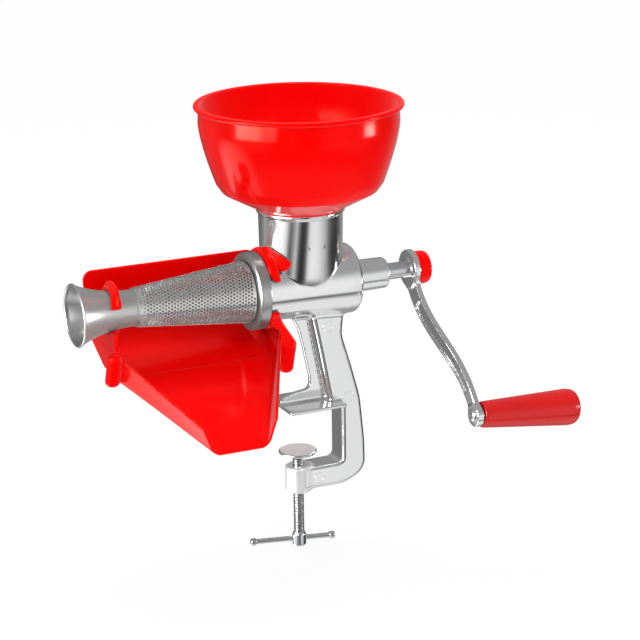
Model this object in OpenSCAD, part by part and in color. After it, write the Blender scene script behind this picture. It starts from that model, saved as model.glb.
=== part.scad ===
// Hand-cranked tomato strainer with a table clamp.
// Origin: on the clamp screw's axis, at the underside of the upper jaw.
// +X runs along the barrel to the crank, +Z is up, and the drip trough faces -Y.
// Lengths along the barrel are measured from the neck's axis.

/* [Barrel and neck] */
// Height of the barrel's axis above the table top
axis_h = 92; // [88:1:110]
// Distance from the clamp screw to the neck, along the barrel
neck_x = 5.4; // [4:0.2:8]
// Outer radius of the barrel at the crank end
barrel_r = 25.7; // [25:0.1:27]
// Outer radius of the barrel behind the strainer
barrel_mouth_r = 23.2; // [22.8:0.1:24]
// Inner radius of the barrel
barrel_bore_r = 21; // [20:0.1:21.5]
// Length of the barrel from the neck to its closed end
barrel_end = 38.5; // [36:0.5:44]
// Thickness of the barrel's closed end
end_wall = 8; // [7:0.5:9]
// Radius of the flange that carries the strainer
flange_r = 26.6; // [26:0.1:27.5]
// Width of that flange
flange_w = 5; // [4:0.5:6]
// Outer radius of the neck
neck_r = 30.6; // [29:0.1:32]
// Wall of the neck
neck_wall = 3.2; // [2.5:0.1:4]
// Height of the neck's rim above the barrel's axis
neck_h = 57.6; // [52:0.2:66]
// Outer radius of the shaft boss behind the barrel
boss_r = 11.6; // [11:0.1:12.5]
// Length of that boss
boss_l = 28.2; // [24:0.2:32]

/* [Clamp] */
// Thickness of the column and the lower arm
column_t = 22; // [18:1:26]
// Thickness of the web under the barrel
web_t = 3.8; // [3:0.2:6]
// Opening between the upper jaw and the lower arm
jaw_gap = 47.5; // [44:0.5:56]
// Distance from the screw to the column
jaw_depth = 32; // [30:0.5:38]
// Width of the upper jaw
jaw_w = 44; // [38:1:50]
// Thickness of the upper jaw
jaw_t = 2.6; // [2:0.1:4]
// Height of the lower arm
arm_h = 16.5; // [14:0.5:20]
// Diameter of the nut boss at the end of the arm
nut_boss_d = 19; // [17:0.5:22]

/* [Screw] */
// Diameter of the clamp screw
screw_d = 8; // [7:0.1:9]
// Height of the pressure disc's face below the jaw
disc_drop = 34.8; // [30:0.2:38]
// Diameter of the pressure disc
disc_d = 28.6; // [24:0.2:32]
// Thickness of the pressure disc
disc_t = 3.2; // [2.6:0.1:4]
// Length of the screw below the disc, down to its head
screw_l = 62; // [60:0.5:75]
// Diameter of the drilled head
head_d = 10.4; // [9.6:0.1:12]
// Height of the drilled head
head_h = 11; // [9:0.5:14]
// Diameter of the tommy bar
bar_d = 3.8; // [3:0.1:4.2]
// Length of the tommy bar between its end caps
bar_l = 56; // [50:1:70]
// Distance that the bar sits off centre
bar_shift = 5; // [2:0.5:10]
// Turn of the bar about the screw, in degrees
bar_turn = 13; // [0:1:30]

/* [Hopper] */
// Outer radius of the bowl below its rim
bowl_r = 72; // [64:1:80]
// Radius of the rolled rim bead
bead_r = 1.7; // [1.2:0.1:2.4]
// Height from the neck's rim to the bowl's rim
bowl_h = 74.8; // [68:0.2:90]
// Height of the bowl's cone-shaped bottom
bowl_floor_h = 13.8; // [11:0.2:16]
// Radius at which the bottom turns up into the wall
bowl_knee_r = 56.5; // [52:0.5:58]
// Wall of the bowl
bowl_wall = 2.4; // [1.8:0.1:3.2]
// Depth of the spigot inside the neck
spigot_h = 24; // [18:0.5:28]
// Gap around the spigot
spigot_gap = 0.4; // [0.3:0.05:0.6]

/* [Strainer] */
// Outer radius of the collar
collar_r = 28.3; // [28:0.1:29.5]
// Length of the collar
collar_l = 8.6; // [8:0.1:9]
// Distance from the neck to the collar's front
collar_x = 43.8; // [43:0.1:44.6]
// Radius of the cone at the collar
cone_big_r = 22.5; // [21.8:0.1:23]
// Radius of the cone at the waste spout
cone_small_r = 13.9; // [13:0.1:15]
// Wall of the cone
cone_wall = 0.9; // [0.7:0.1:1.2]
// Length of the cone
cone_l = 85; // [80:1:90]
// Rows of holes along the cone
hole_rows = 14; // [10:1:18]
// Holes in each row
holes_round = 18; // [14:1:22]
// Diameter of one hole
hole_d = 2.6; // [1.8:0.1:3]
// Length of the waste spout
spout_l = 44; // [40:1:50]
// Radius of the waste spout's flared mouth
spout_mouth_r = 21.85; // [20:0.1:23]
// Wall of the waste spout
spout_wall = 1; // [0.8:0.1:1.3]

/* [Screw conveyor and shaft] */
// Diameter of the drive shaft
shaft_d = 12.2; // [11:0.1:13]
// Length of shaft between the boss and the crank
shaft_gap = 18.9; // [14:0.1:22]
// Gap between the conveyor's flight and the wall
flight_gap = 0.8; // [0.5:0.1:1.2]
// Number of turns of the flight
flight_turns = 6; // [4:0.5:7]
// Thickness of the flight at its rim
flight_t = 2.6; // [2:0.1:3.6]
// Core radius of the conveyor at the crank end
core_big_r = 11; // [10:0.5:13]
// Core radius of the conveyor at its tip
core_small_r = 6.5; // [5.5:0.5:8]

/* [Crank] */
// Radius of the crank's hub
hub_r = 14.2; // [13:0.1:16]
// Length of the crank's hub
hub_l = 4.8; // [4.6:0.1:8]
// Thickness of the crank arm
arm_t = 4.4; // [4:0.1:6]
// Reach of the crank towards the viewer
throw_y = 103; // [95:1:112]
// Drop of the crank's grip below the shaft
throw_z = 83; // [75:1:92]
// Width of the arm at the hub
arm_w_hub = 15; // [13:0.5:17]
// Width of the arm at the grip
arm_w_eye = 10.8; // [9.5:0.1:12]
// Radius of the eye that holds the grip
eye_r = 8; // [7.5:0.1:9]
// Radius of the red lock knob
knob_r = 12.3; // [11:0.1:13.5]
// Length of the red lock knob
knob_l = 10.2; // [10:0.2:15]

/* [Grip] */
// Radius of the grip next to the arm
grip_small_r = 9.4; // [8.6:0.1:10.5]
// Largest radius of the grip
grip_big_r = 13.4; // [12:0.1:15]
// Length of the grip
grip_l = 79; // [70:1:90]
// Tilt of the grip's pin, in degrees
grip_tilt = 4.4; // [0:0.2:5]
// Diameter of the grip's pin
pin_d = 6; // [5:0.1:7]

/* [Drip trough] */
// Wall of the trough
trough_wall = 2.2; // [1.8:0.1:2.8]
// Distance from the neck to the middle of the trough
trough_x = 86; // [84:0.5:88]
// Half the trough's width at the back
trough_half_back = 64.5; // [63:0.5:66]
// Half the spout's width at its rim
lip_half_top = 26.8; // [22:0.2:30]
// Half the spout's width at its floor
lip_half_floor = 19.5; // [16:0.5:22]
// Distance from the barrel's axis back to the splash wall
splash_y = 40; // [38:0.5:46]
// Height of the splash wall's top above the barrel's axis
splash_top = 19; // [14:0.5:26]
// Distance from the barrel's axis forward to the lip
lip_y = 84; // [76:1:92]
// Drop of the lip's floor below the barrel's axis
lip_drop = 88; // [84:0.5:90]
// Width of the clip that holds the waste spout
clip_w = 8; // [6:0.5:9]
// Gap between the clips and what they hold
clip_gap = 0.3; // [0.2:0.05:0.5]

/* [Hidden] */

$fn = 72;
// Overshoot of a cut past the face that it opens
eps = 0.5;
// Radial clearance of a shaft in its hole
run = 0.05;
// Steps in one drawn curve
curve_n = 12;

// Barrel and neck
bore_back = barrel_end - end_wall;
mouth_x = -(collar_x - 1.8);
flange_back = mouth_x + flange_w;
neck_bore_r = neck_r - neck_wall;
neck_taper_h = 26;
neck_foot_r = 24.2;
neck_foot_h = 3;
lip_h = 2.2;
lip_out = 1.25;
end_round = 3;
boss_end = barrel_end + boss_l;
bush_wall = 2.1;
bush_l = 15;
seal_w = 3;
seal_wall = 3.2;
throat_r = 19;
throat_h = 12;

// Clamp
column_top = axis_h - barrel_bore_r - 1.4;
column_round = 8;
arm_top = -jaw_gap;
arm_bottom = arm_top - arm_h;
jaw_left = 14.5;
jaw_right = 30.5;
jaw_fillet = 5;
nut_boss_drop = 3;

// Screw
disc_top = -disc_drop;
disc_under = disc_top - disc_t;
socket_r = 5.8;
socket_h = 2.6;
neck_pin_r = 2.5;
screw_top = disc_under - socket_h;
head_top = disc_under - screw_l;
head_mid = head_top - head_h / 2;
cap_r = bar_d / 2 + 0.8;
cap_l = 4.2;

// Hopper
bowl_flare = 11.7;
bowl_straight = 12;
bowl_power = 1.4;
spigot_r = neck_bore_r - spigot_gap;
seat_r = neck_r + lip_out;

// Strainer
skirt_t = collar_r - flange_r - run;
cone_big_x = -(collar_x + 1.2);
cone_small_x = cone_big_x - cone_l;
cone_seat_x = -collar_x + 0.6;
spout_end_x = cone_small_x + 1 - spout_l;
spout_root_r = cone_small_r - cone_wall;
spout_root_l = 6;
cone_margin = 5;
flare_power = 2.2;
lug_t = 1.6;
lug_in = 2;
lug_turn = 34;

// Screw conveyor and shaft
auger_back = bore_back - 2.4;
auger_tip = cone_small_x + 3;
washer_t = 1.8;
square = 8.6;
socket_l = 30;
cross_pin_d = 4;
cross_pin_x = auger_back - 22;
hub_x = boss_end + shaft_gap;
shaft_end = hub_x + hub_l - 1.5;
stud_r = 3;
stud_l = 12;
ring_n = 22;

// Crank
arm_x = hub_x + hub_l - arm_t;
hub_round = 1;
groove_d = 1.3;
groove_rim = 2.4;
knob_x = hub_x + hub_l + 1;
grip_gap = 1.1;
grip_x = arm_x + arm_t + grip_gap;

// Grip
pin_l = 62;
rivet_r = 4.6;
rivet_h = 1.6;
grip_bore_gap = 0.06;
grip_pocket_r = 6;
clip_groove = 1.2;
pin_seat = arm_t + grip_gap + 1;

// Drip trough
kink_y = -8;
kink_drop = 46;
back_drop = 28.5;
rim_back_drop = 24.6;
rim_kink_drop = 27.5;
rim_lip_drop = 67.6;
floor_draft = 2;
splash_half = 67;
splash_round = 8;
left_ring_r = 15.4;
left_ring_out = 20.9;
right_strap_t = 3;
right_top_r = 32;
neck_gap = 1.2;
post_r = 5.6;

function lerp(a, b, t) = a + (b - a) * t;
function arc(cx, cy, r, a0, a1, n = curve_n) =
    [for (i = [0 : n]) let (a = lerp(a0, a1, i / n)) [cx + r * cos(a), cy + r * sin(a)]];
function bez2(p0, p1, p2, n = curve_n) =
    [for (i = [0 : n]) let (t = i / n) (1 - t) * (1 - t) * p0 + 2 * t * (1 - t) * p1 + t * t * p2];
function bez3(p0, p1, p2, p3, t) =
    pow(1 - t, 3) * p0 + 3 * t * pow(1 - t, 2) * p1 + 3 * t * t * (1 - t) * p2 + pow(t, 3) * p3;
function reversed(v) = [for (i = [len(v) - 1 : -1 : 0]) v[i]];
function unit(v) = v / norm(v);

// Radius of the barrel's outside, of the cone and of the waste spout at a place on the axis
function barrel_at(x) = lerp(barrel_mouth_r, barrel_r, min(1, max(0, (x - flange_back) / 65)));
function cone_at(x) = lerp(cone_small_r, cone_big_r, (x - cone_small_x) / cone_l);
function spout_at(x) = spout_root_r + (spout_mouth_r - spout_root_r)
    * pow(max(0, (cone_small_x - 1 - x) / (spout_l - 2)), flare_power);

// Places children on the barrel's axis, at the foot of the neck's axis
module on_axis() {
    translate([neck_x, 0, axis_h]) children();
}

// Revolves points given as [radius, distance along X] about the barrel's axis
module turned(points) {
    on_axis() rotate([0, 90, 0]) rotate_extrude() polygon(points);
}

// A straight round bar along X, on the barrel's axis
module rod(r, x0, x1) {
    on_axis() translate([x0, 0, 0]) rotate([0, 90, 0]) cylinder(r = r, h = x1 - x0);
}

// Extrudes a shape drawn in the YZ plane from x0 to x1
module slab(x0, x1) {
    translate([x0, 0, 0]) rotate([90, 0, 90]) linear_extrude(x1 - x0) children();
}

// A plate of thickness t about Y = 0, drawn in the XZ plane
module upright(t, points) {
    translate([0, t / 2, 0]) rotate([90, 0, 0]) linear_extrude(t) polygon(points);
}

// Body casting: neck, barrel, shaft boss, column, jaw, lower arm and nut boss in one piece
module neck_outside() {
    taper = [for (i = [0 : curve_n]) let (t = i / curve_n)
        [lerp(neck_foot_r, neck_r, pow(t, 0.6)), lerp(neck_foot_h, neck_taper_h, t)]];
    on_axis() rotate_extrude() polygon(concat(
        [[0, 0], [neck_foot_r, 0]], taper,
        [[neck_r, neck_h - lip_h - 0.8], [neck_r + lip_out, neck_h - lip_h],
         [neck_r + lip_out, neck_h - 0.5], [neck_r + lip_out - 0.5, neck_h], [0, neck_h]]));
}

module barrel_outside() {
    cap = arc(barrel_end - end_round, barrel_r - end_round, end_round, 90, 0);
    turned(concat(
        [[0, mouth_x], [flange_r, mouth_x], [flange_r, flange_back],
         [barrel_mouth_r, flange_back], [barrel_r, flange_back + 65]],
        [for (p = cap) if (p[0] > flange_back + 65) [p[1], p[0]]],
        [[boss_r, barrel_end], [boss_r - 0.3, boss_end - 2], [boss_r - 2, boss_end], [0, boss_end]]));
}

module column_profile() {
    edge_x = jaw_depth + 0.9;
    upright(column_t, concat(
        [[7.5, column_top], [9.4, axis_h - 25], [14.5, axis_h - 48.8], [21.6, 7.5], [22.8, jaw_t],
         [22.8, 0]],
        arc(jaw_depth - jaw_fillet, -jaw_fillet, jaw_fillet, 90, 0, 6),
        arc(jaw_depth - 4, arm_top + 4, 4, 0, -90, 6),
        [[0, arm_top], [0, arm_bottom]],
        arc(jaw_depth - 3, arm_bottom + 22, 22, -88, -8),
        bez2([jaw_depth + 18.6, -30], [jaw_depth + 17, 2], [jaw_depth + 8.4, 28]),
        arc(edge_x + column_round, axis_h - 34, column_round, 180, 122, 6),
        [[edge_x + 4.4, column_top]]));
}

module web_profile() {
    upright(web_t, concat(
        [[-3, column_top], [-2, 65], [2, 57], [5.8, 41.5]],
        arc(2.6, 18.4, 7.6, 0, -75, 6),
        [[-7.1, 9], [-jaw_left + 0.6, 7], [-jaw_left + 0.6, jaw_t / 2], [26, jaw_t / 2],
         [26, column_top]]));
}

module jaw_plate() {
    half = jaw_w / 2;
    round_r = 4;
    linear_extrude(jaw_t) polygon(concat(
        arc(-jaw_left + round_r, -half + round_r, round_r, 180, 270, 4),
        arc(jaw_right - 6, -half + 6, 6, 270, 360, 4),
        arc(jaw_right - 6, half - 6, 6, 0, 90, 4),
        arc(-jaw_left + round_r, half - round_r, round_r, 90, 180, 4)));
}

module body_casting() {
    color("silver") difference() {
        union() {
            neck_outside();
            barrel_outside();
            column_profile();
            web_profile();
            jaw_plate();
            translate([0, 0, arm_bottom - nut_boss_drop])
                cylinder(d = nut_boss_d, h = arm_h + nut_boss_drop);
        }
        // Room for the conveyor, open at the strainer's end
        turned([[0, mouth_x - eps], [barrel_bore_r, mouth_x - eps], [barrel_bore_r, bore_back - 1.5],
                [barrel_bore_r - 1.5, bore_back], [0, bore_back]]);
        // The throat narrows from the neck into the barrel
        on_axis() rotate_extrude() polygon([
            [0, 0], [throat_r, 0], [throat_r, throat_h], [neck_bore_r - 2, neck_taper_h],
            [neck_bore_r, neck_taper_h + 4], [neck_bore_r, neck_h + eps], [0, neck_h + eps]]);
        rod(shaft_d / 2 + bush_wall, boss_end - bush_l, boss_end + eps);
        rod(shaft_d / 2 + seal_wall, bore_back - eps, bore_back + seal_w);
        rod(shaft_d / 2 + 0.4, bore_back, boss_end);
        translate([0, 0, arm_bottom - nut_boss_drop - eps])
            cylinder(d = screw_d + 2 * run, h = arm_h + nut_boss_drop + 2 * eps);
        // Two notches that let the collar's lugs through the flange
        for (a = [0, 180]) on_axis() rotate([a + lug_turn, 0, 0])
            translate([mouth_x - eps, -4.5, flange_r - 3]) cube([flange_w + 2 * eps, 9, 4]);
    }
}

module shaft_bush() {
    r_out = shaft_d / 2 + bush_wall;
    color("peru") turned([[shaft_d / 2 + run, boss_end - bush_l], [r_out, boss_end - bush_l],
                          [r_out, boss_end - 0.3], [shaft_d / 2 + run, boss_end - 0.3]]);
}

module shaft_seal() {
    r_in = shaft_d / 2 + run;
    r_out = shaft_d / 2 + seal_wall;
    color("dimgray") turned([[r_in, bore_back], [r_out, bore_back], [r_out, bore_back + seal_w],
                             [r_out - 1, bore_back + seal_w], [r_in + 0.8, bore_back + 1],
                             [r_in, bore_back + 1]]);
}

// Hopper: a moulded bowl whose spigot drops into the neck
function wall_at(t, inset) = [bowl_r - inset - bowl_flare * pow(t, bowl_power),
                              lerp(bowl_h - bowl_straight, bowl_floor_h + 5.4, t)];

module hopper() {
    floor_lift = bowl_wall * 1.13;
    outside = concat(
        [[spigot_r, -spigot_h], [spigot_r, 0], [seat_r, 0], [seat_r + 0.3, 0.9]],
        bez2([bowl_knee_r, bowl_floor_h], [bowl_knee_r + 2.6, bowl_floor_h + 1.6], wall_at(1, 0), 5),
        [for (i = [1 : curve_n]) wall_at(1 - i / curve_n, 0)],
        [[bowl_r, bowl_h]]);
    inside = concat(
        [[spigot_r - bowl_wall, -spigot_h], [spigot_r - bowl_wall, -1], [spigot_r + 0.4, floor_lift - 0.6]],
        bez2([bowl_knee_r - 1, bowl_floor_h + floor_lift - 0.5],
             [bowl_knee_r + 0.6, bowl_floor_h + 3.4], wall_at(0.93, bowl_wall), 5),
        [for (i = [2 : curve_n]) wall_at(1 - i / curve_n, bowl_wall)],
        [[bowl_r - bowl_wall, bowl_h]]);
    color("red") translate([neck_x, 0, axis_h + neck_h]) {
        rotate_extrude() polygon(concat(outside, reversed(inside)));
        rotate_extrude() translate([bowl_r + bead_r * 0.7, bowl_h]) circle(r = bead_r, $fn = 24);
    }
}

// Strainer collar: a drawn ring with two lugs that turn behind the barrel's flange
module strainer_collar() {
    front = -collar_x;
    back = front + collar_l;
    lip_r = cone_big_r + 0.3;
    color("gainsboro") {
        turned(concat(
            [[lip_r, front - 0.4], [collar_r - 3, front]],
            [for (p = arc(front + 2, collar_r - 2, 2, 180, 90, 6)) [p[1], p[0]]],
            [[collar_r, back - 1.4], [collar_r - 0.8, back], [collar_r - skirt_t, back],
             [collar_r - skirt_t, front + 1.6], [cone_big_r - cone_wall, front + 1.6],
             [cone_big_r - cone_wall, cone_seat_x], [lip_r, cone_seat_x]]));
        for (a = [0, 180]) on_axis() rotate([a, 0, 0]) intersection() {
            translate([back - lug_t, 0, 0]) rotate([0, 90, 0]) difference() {
                cylinder(r = collar_r - skirt_t / 2, h = lug_t);
                translate([0, 0, -eps]) cylinder(r = collar_r - skirt_t - lug_in, h = lug_t + 2 * eps);
            }
            translate([back - lug_t - eps, -4, 0]) cube([lug_t + 2 * eps, 8, collar_r + eps]);
        }
    }
}

// Strainer cone: thin sheet with staggered rows of holes
module strainer_cone() {
    span = cone_l - 2 * cone_margin;
    color("lightgray") difference() {
        turned([[cone_small_r, cone_small_x], [cone_big_r, cone_big_x], [cone_big_r, cone_seat_x],
                [cone_big_r - cone_wall, cone_seat_x], [cone_big_r - cone_wall, cone_big_x],
                [cone_small_r - cone_wall, cone_small_x]]);
        for (i = [0 : hole_rows - 1], k = [0 : holes_round - 1]) {
            x = cone_small_x + cone_margin + span * i / (hole_rows - 1);
            on_axis() rotate([(k + (i % 2) / 2) * 360 / holes_round, 0, 0])
                translate([x, 0, cone_at(x) - 3])
                cylinder(d = hole_d, h = 4, $fn = 14);
        }
    }
}

// Waste spout: a tube that flares to a round mouth
module waste_spout() {
    steps = 18;
    root = cone_small_x + spout_root_l;
    root_r = cone_at(root) - cone_wall;
    outside = [for (i = [0 : steps]) let (x = lerp(cone_small_x - 1, spout_end_x, i / steps))
        [spout_at(x), x]];
    color("lightgray") turned(concat(
        [[root_r - spout_wall, root], [root_r, root], [spout_root_r, cone_small_x]],
        outside,
        [[spout_mouth_r + 0.5, spout_end_x - 0.6], [spout_mouth_r - 0.4, spout_end_x - 0.9]],
        [for (p = reversed(outside)) [p[0] - spout_wall, p[1]]]));
}

// Auger: a core with one flight that tapers down the strainer cone
function flight_r(x) = min(barrel_bore_r, x > cone_big_x ? barrel_bore_r : cone_at(x) - cone_wall)
    - flight_gap - (x < cone_small_x + 8 ? 1.2 : 0);
function core_at(x) = lerp(core_small_r, core_big_r, (x - auger_tip) / (auger_back - auger_tip));

module auger_flight() {
    rings = flight_turns * ring_n;
    x0 = auger_tip + 6;
    x1 = auger_back - flight_t;
    pts = [for (i = [0 : rings]) let (t = i / rings, x = lerp(x1, x0, t), a = 360 * flight_turns * t,
                                     ro = flight_r(x), ri = core_at(x) - 1, h = flight_t / 2)
        each [[x - h * 1.6, ri * cos(a), ri * sin(a)], [x + h * 1.6, ri * cos(a), ri * sin(a)],
              [x + h, ro * cos(a), ro * sin(a)], [x - h, ro * cos(a), ro * sin(a)]]];
    faces = concat(
        [[0, 1, 2], [0, 2, 3]],
        [for (i = [0 : rings - 1], k = [0 : 3]) let (a = 4 * i + k, b = 4 * i + (k + 1) % 4)
            each [[a, a + 4, b], [b, a + 4, b + 4]]],
        [let (e = 4 * rings) [e, e + 2, e + 1], let (e = 4 * rings) [e, e + 3, e + 2]]);
    on_axis() polyhedron(pts, faces);
}

module auger() {
    color("white") difference() {
        union() {
            turned([[0, auger_tip - 3], [core_small_r - 2.5, auger_tip - 2], [core_small_r, auger_tip],
                    [core_big_r, auger_back], [0, auger_back]]);
            auger_flight();
        }
        rod(shaft_d / 2 + run, auger_back - socket_l, auger_back + eps);
        on_axis() translate([cross_pin_x, 0, 0])
            cylinder(d = cross_pin_d + 2 * run, h = 2 * core_big_r + 2 * eps, center = true, $fn = 24);
    }
}

// Drive shaft: round through the boss, square in the crank's hub
module drive_shaft() {
    color("silver") difference() {
        union() {
            rod(shaft_d / 2, auger_back - socket_l + eps, hub_x);
            on_axis() translate([hub_x - eps, -square / 2, -square / 2])
                cube([shaft_end - hub_x + eps, square, square]);
        }
        rod(stud_r + run, shaft_end - stud_l - 1, shaft_end + eps);
        on_axis() translate([cross_pin_x, 0, 0])
            cylinder(d = cross_pin_d + 2 * run, h = shaft_d + 2 * eps, center = true, $fn = 24);
    }
}

module drive_pin() {
    color("silver") on_axis() translate([cross_pin_x, 0, 0])
        cylinder(d = cross_pin_d, h = 2 * core_at(cross_pin_x) - 1.6, center = true, $fn = 24);
}

module thrust_washer() {
    color("ivory") turned([[shaft_d / 2 + run, auger_back + 0.1], [core_big_r + 5, auger_back + 0.1],
                           [core_big_r + 5, auger_back + 0.1 + washer_t],
                           [shaft_d / 2 + run, auger_back + 0.1 + washer_t]]);
}

// Crank arm: a cast hub, an S-shaped arm with a groove in its face, and the grip's eye
function arm_centre(t) = bez3([0, 0], [-0.195 * throw_y, -0.58 * throw_z],
                              [-0.777 * throw_y, -0.458 * throw_z], [-throw_y, -throw_z], t);
function arm_dir(t) = unit(arm_centre(min(1, t + 0.01)) - arm_centre(max(0, t - 0.01)));
function arm_side(t, s) = let (d = arm_dir(t), w = lerp(arm_w_hub, arm_w_eye, t) / 2)
    arm_centre(t) + s * w * [-d[1], d[0]];
function arm_outline(t0, t1, rim) = let (n = 26)
    concat([for (i = [0 : n]) let (t = lerp(t0, t1, i / n)) arm_side(t, 1)
                - rim * [-arm_dir(t)[1], arm_dir(t)[0]]],
           [for (i = [n : -1 : 0]) let (t = lerp(t0, t1, i / n)) arm_side(t, -1)
                + rim * [-arm_dir(t)[1], arm_dir(t)[0]]]);

// The same, placed on the barrel's axis
module crosswise(x0, x1) {
    on_axis() slab(x0, x1) children();
}

module crank_arm() {
    color("silver") difference() {
        union() {
            crosswise(arm_x, arm_x + arm_t) polygon(arm_outline(0.03, 0.97, 0));
            turned(concat([[0, hub_x], [hub_r - hub_round, hub_x]],
                [for (p = arc(hub_x + hub_round, hub_r - hub_round, hub_round, 180, 90, 6)) [p[1], p[0]]],
                [[hub_r, hub_x + hub_l - 0.8], [hub_r - 0.8, hub_x + hub_l], [0, hub_x + hub_l]]));
            crosswise(arm_x - 0.6, arm_x + arm_t + 0.2) translate([-throw_y, -throw_z]) circle(r = eye_r);
        }
        crosswise(arm_x - eps, arm_x + groove_d) polygon(arm_outline(0.2, 0.87, groove_rim));
        crosswise(arm_x + arm_t - groove_d, arm_x + arm_t + eps)
            polygon(arm_outline(0.2, 0.87, groove_rim));
        on_axis() translate([hub_x - eps, -square / 2 - run, -square / 2 - run])
            cube([hub_l - 1, square + 2 * run, square + 2 * run]);
        rod(stud_r + 0.4, hub_x, knob_x);
        at_grip() translate([0, 0, -3 * arm_t]) cylinder(d = pin_d, h = 5 * arm_t);
    }
}

module knob_washer() {
    color("silver") turned([[stud_r + 0.2, hub_x + hub_l], [7.5, hub_x + hub_l],
                            [7.5, knob_x - 0.05], [stud_r + 0.2, knob_x - 0.05]]);
}

// Lock knob: a domed red cap moulded round a threaded stud
module lock_knob() {
    color("red") difference() {
        turned(concat([[0, knob_x], [knob_r - 0.8, knob_x], [knob_r - 0.2, knob_x + 0.6]],
            bez2([knob_r, knob_x + 3], [knob_r + 0.2, knob_x + 5], [knob_r - 0.3, knob_x + 6.6], 4),
            bez2([knob_r - 0.9, knob_x + knob_l - 1.8], [knob_r - 3, knob_x + knob_l - 0.4],
                 [knob_r * 0.4, knob_x + knob_l - 0.1], 6),
            [[0, knob_x + knob_l]]));
        rod(stud_r, knob_x - eps, knob_x + knob_l - 4);
    }
}

module knob_stud() {
    color("silver") rod(stud_r, shaft_end - stud_l, knob_x + knob_l - 4);
}

// Places children on the grip's tilted pin, with +Z along the pin, away from the arm
module at_grip() {
    on_axis() translate([grip_x, -throw_y, -throw_z]) rotate([0, 90 + grip_tilt, 0]) children();
}

module grip_pin() {
    color("silver") at_grip() translate([0, 0, -pin_seat]) cylinder(d = pin_d, h = pin_l + pin_seat);
}

module grip_pin_head() {
    color("silver") at_grip() translate([0, 0, -pin_seat - rivet_h]) rotate_extrude() polygon(
        [[0, 0], [rivet_r * 0.7, 0], [rivet_r, rivet_h * 0.6], [rivet_r, rivet_h], [0, rivet_h]]);
}

module grip_clip() {
    color("dimgray") at_grip() translate([0, 0, pin_l - 3]) difference() {
        cylinder(r = grip_pocket_r - 0.6, h = clip_groove);
        translate([0, 0, -eps]) cylinder(d = pin_d, h = clip_groove + 2 * eps);
    }
}

// Grip: a tapered red handle, hollow round its pin
module grip() {
    r_end = 7;
    color("red") at_grip() rotate_extrude() polygon(concat(
        [[pin_d / 2 + grip_bore_gap, 0], [grip_small_r - 0.8, 0], [grip_small_r, 0.8]],
        [[grip_big_r, grip_l - r_end - 3]],
        [for (p = arc(grip_big_r - r_end, grip_l - r_end, r_end, 0, 78, 8)) p],
        [[0, grip_l], [0, pin_l + 2], [grip_pocket_r, pin_l + 1], [grip_pocket_r, pin_l - 3.4],
         [pin_d / 2 + grip_bore_gap, pin_l - 3.4]]));
}

// Pressure disc: a turned pad swaged over the screw's neck
module pressure_disc() {
    r = disc_d / 2;
    color("silver") translate([0, 0, disc_under]) rotate_extrude() polygon(concat(
        [[0, disc_t]],
        [[r - 1, disc_t]], arc(r - 1.3, disc_t - 1.3, 1.3, 75, -40, 6),
        [[r - 3, 0], [socket_r, 0], [socket_r - 0.6, -socket_h + 0.2],
         [neck_pin_r + run, -socket_h + 0.2], [neck_pin_r + run, 1.6], [0, 1.6]]));
}

// Clamp screw: a thread with a drilled head, and a neck that turns in the disc
module clamp_screw() {
    color("silver") difference() {
        union() {
            translate([0, 0, head_top]) cylinder(d = screw_d, h = screw_top - head_top);
            translate([0, 0, screw_top - eps]) cylinder(r = neck_pin_r, h = socket_h + 1.4 + eps);
            translate([0, 0, head_top - head_h]) rotate_extrude() polygon([
                [0, 0], [head_d / 2 - 1.6, 0], [head_d / 2, 1.8], [head_d / 2, head_h - 2.2],
                [screw_d / 2, head_h], [0, head_h]]);
        }
        along_bar() cylinder(d = bar_d + 2 * run, h = 2 * head_d, center = true);
    }
}

// Places children on the tommy bar's axis, with +Z along the bar to its right end
module along_bar() {
    translate([0, 0, head_mid]) rotate([0, 0, -bar_turn]) rotate([0, 90, 0]) children();
}

module tommy_bar() {
    color("silver") along_bar() translate([0, 0, -bar_l / 2 - bar_shift])
        cylinder(d = bar_d, h = bar_l);
}

module bar_end_caps() {
    color("silver") along_bar() for (s = [-1, 1])
        translate([0, 0, s * bar_l / 2 - bar_shift]) rotate([s > 0 ? 0 : 180, 0, 0]) rotate_extrude()
            polygon([[0, 0], [cap_r, 0], [cap_r, cap_l - 1], [cap_r - 1, cap_l], [0, cap_l]]);
}

// Drip trough: splash wall, sloping floor that narrows to a lip, and two clips
function tub_section(half_top, half_floor, top, floor_z, inset) = let (r = 5 - inset)
    concat([[-half_top + inset, top]],
           arc(-half_floor + inset + r, floor_z + inset + r, r, 190, 270, 4),
           arc(half_floor - inset - r, floor_z + inset + r, r, 270, 350, 4),
           [[half_top - inset, top]]);

module tub_slice(y, points) {
    translate([-trough_x, y, 0]) rotate([90, 0, 0]) linear_extrude(0.02) polygon(points);
}

module tub(inset, rise, back, front) {
    half = trough_half_back;
    hull() {
        tub_slice(back, tub_section(half, half - floor_draft, rise - rim_back_drop, -back_drop, inset));
        tub_slice(kink_y, tub_section(half, half - floor_draft, rise - rim_kink_drop, -kink_drop, inset));
    }
    hull() {
        tub_slice(kink_y, tub_section(half, half - floor_draft, rise - rim_kink_drop, -kink_drop, inset));
        tub_slice(-front, tub_section(lip_half_top, lip_half_floor, rise - rim_lip_drop, -lip_drop, inset));
    }
}

module splash_wall() {
    low = trough_half_back - 1;
    translate([-trough_x, splash_y + trough_wall, 0]) rotate([90, 0, 0]) linear_extrude(trough_wall)
        polygon(concat(
            [[-low, -back_drop + 1], [low, -back_drop + 1]],
            arc(splash_half - splash_round, splash_top - splash_round, splash_round, 0, 90, 6),
            arc(splash_round - splash_half, splash_top - splash_round, splash_round, 90, 180, 6)));
}

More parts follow.
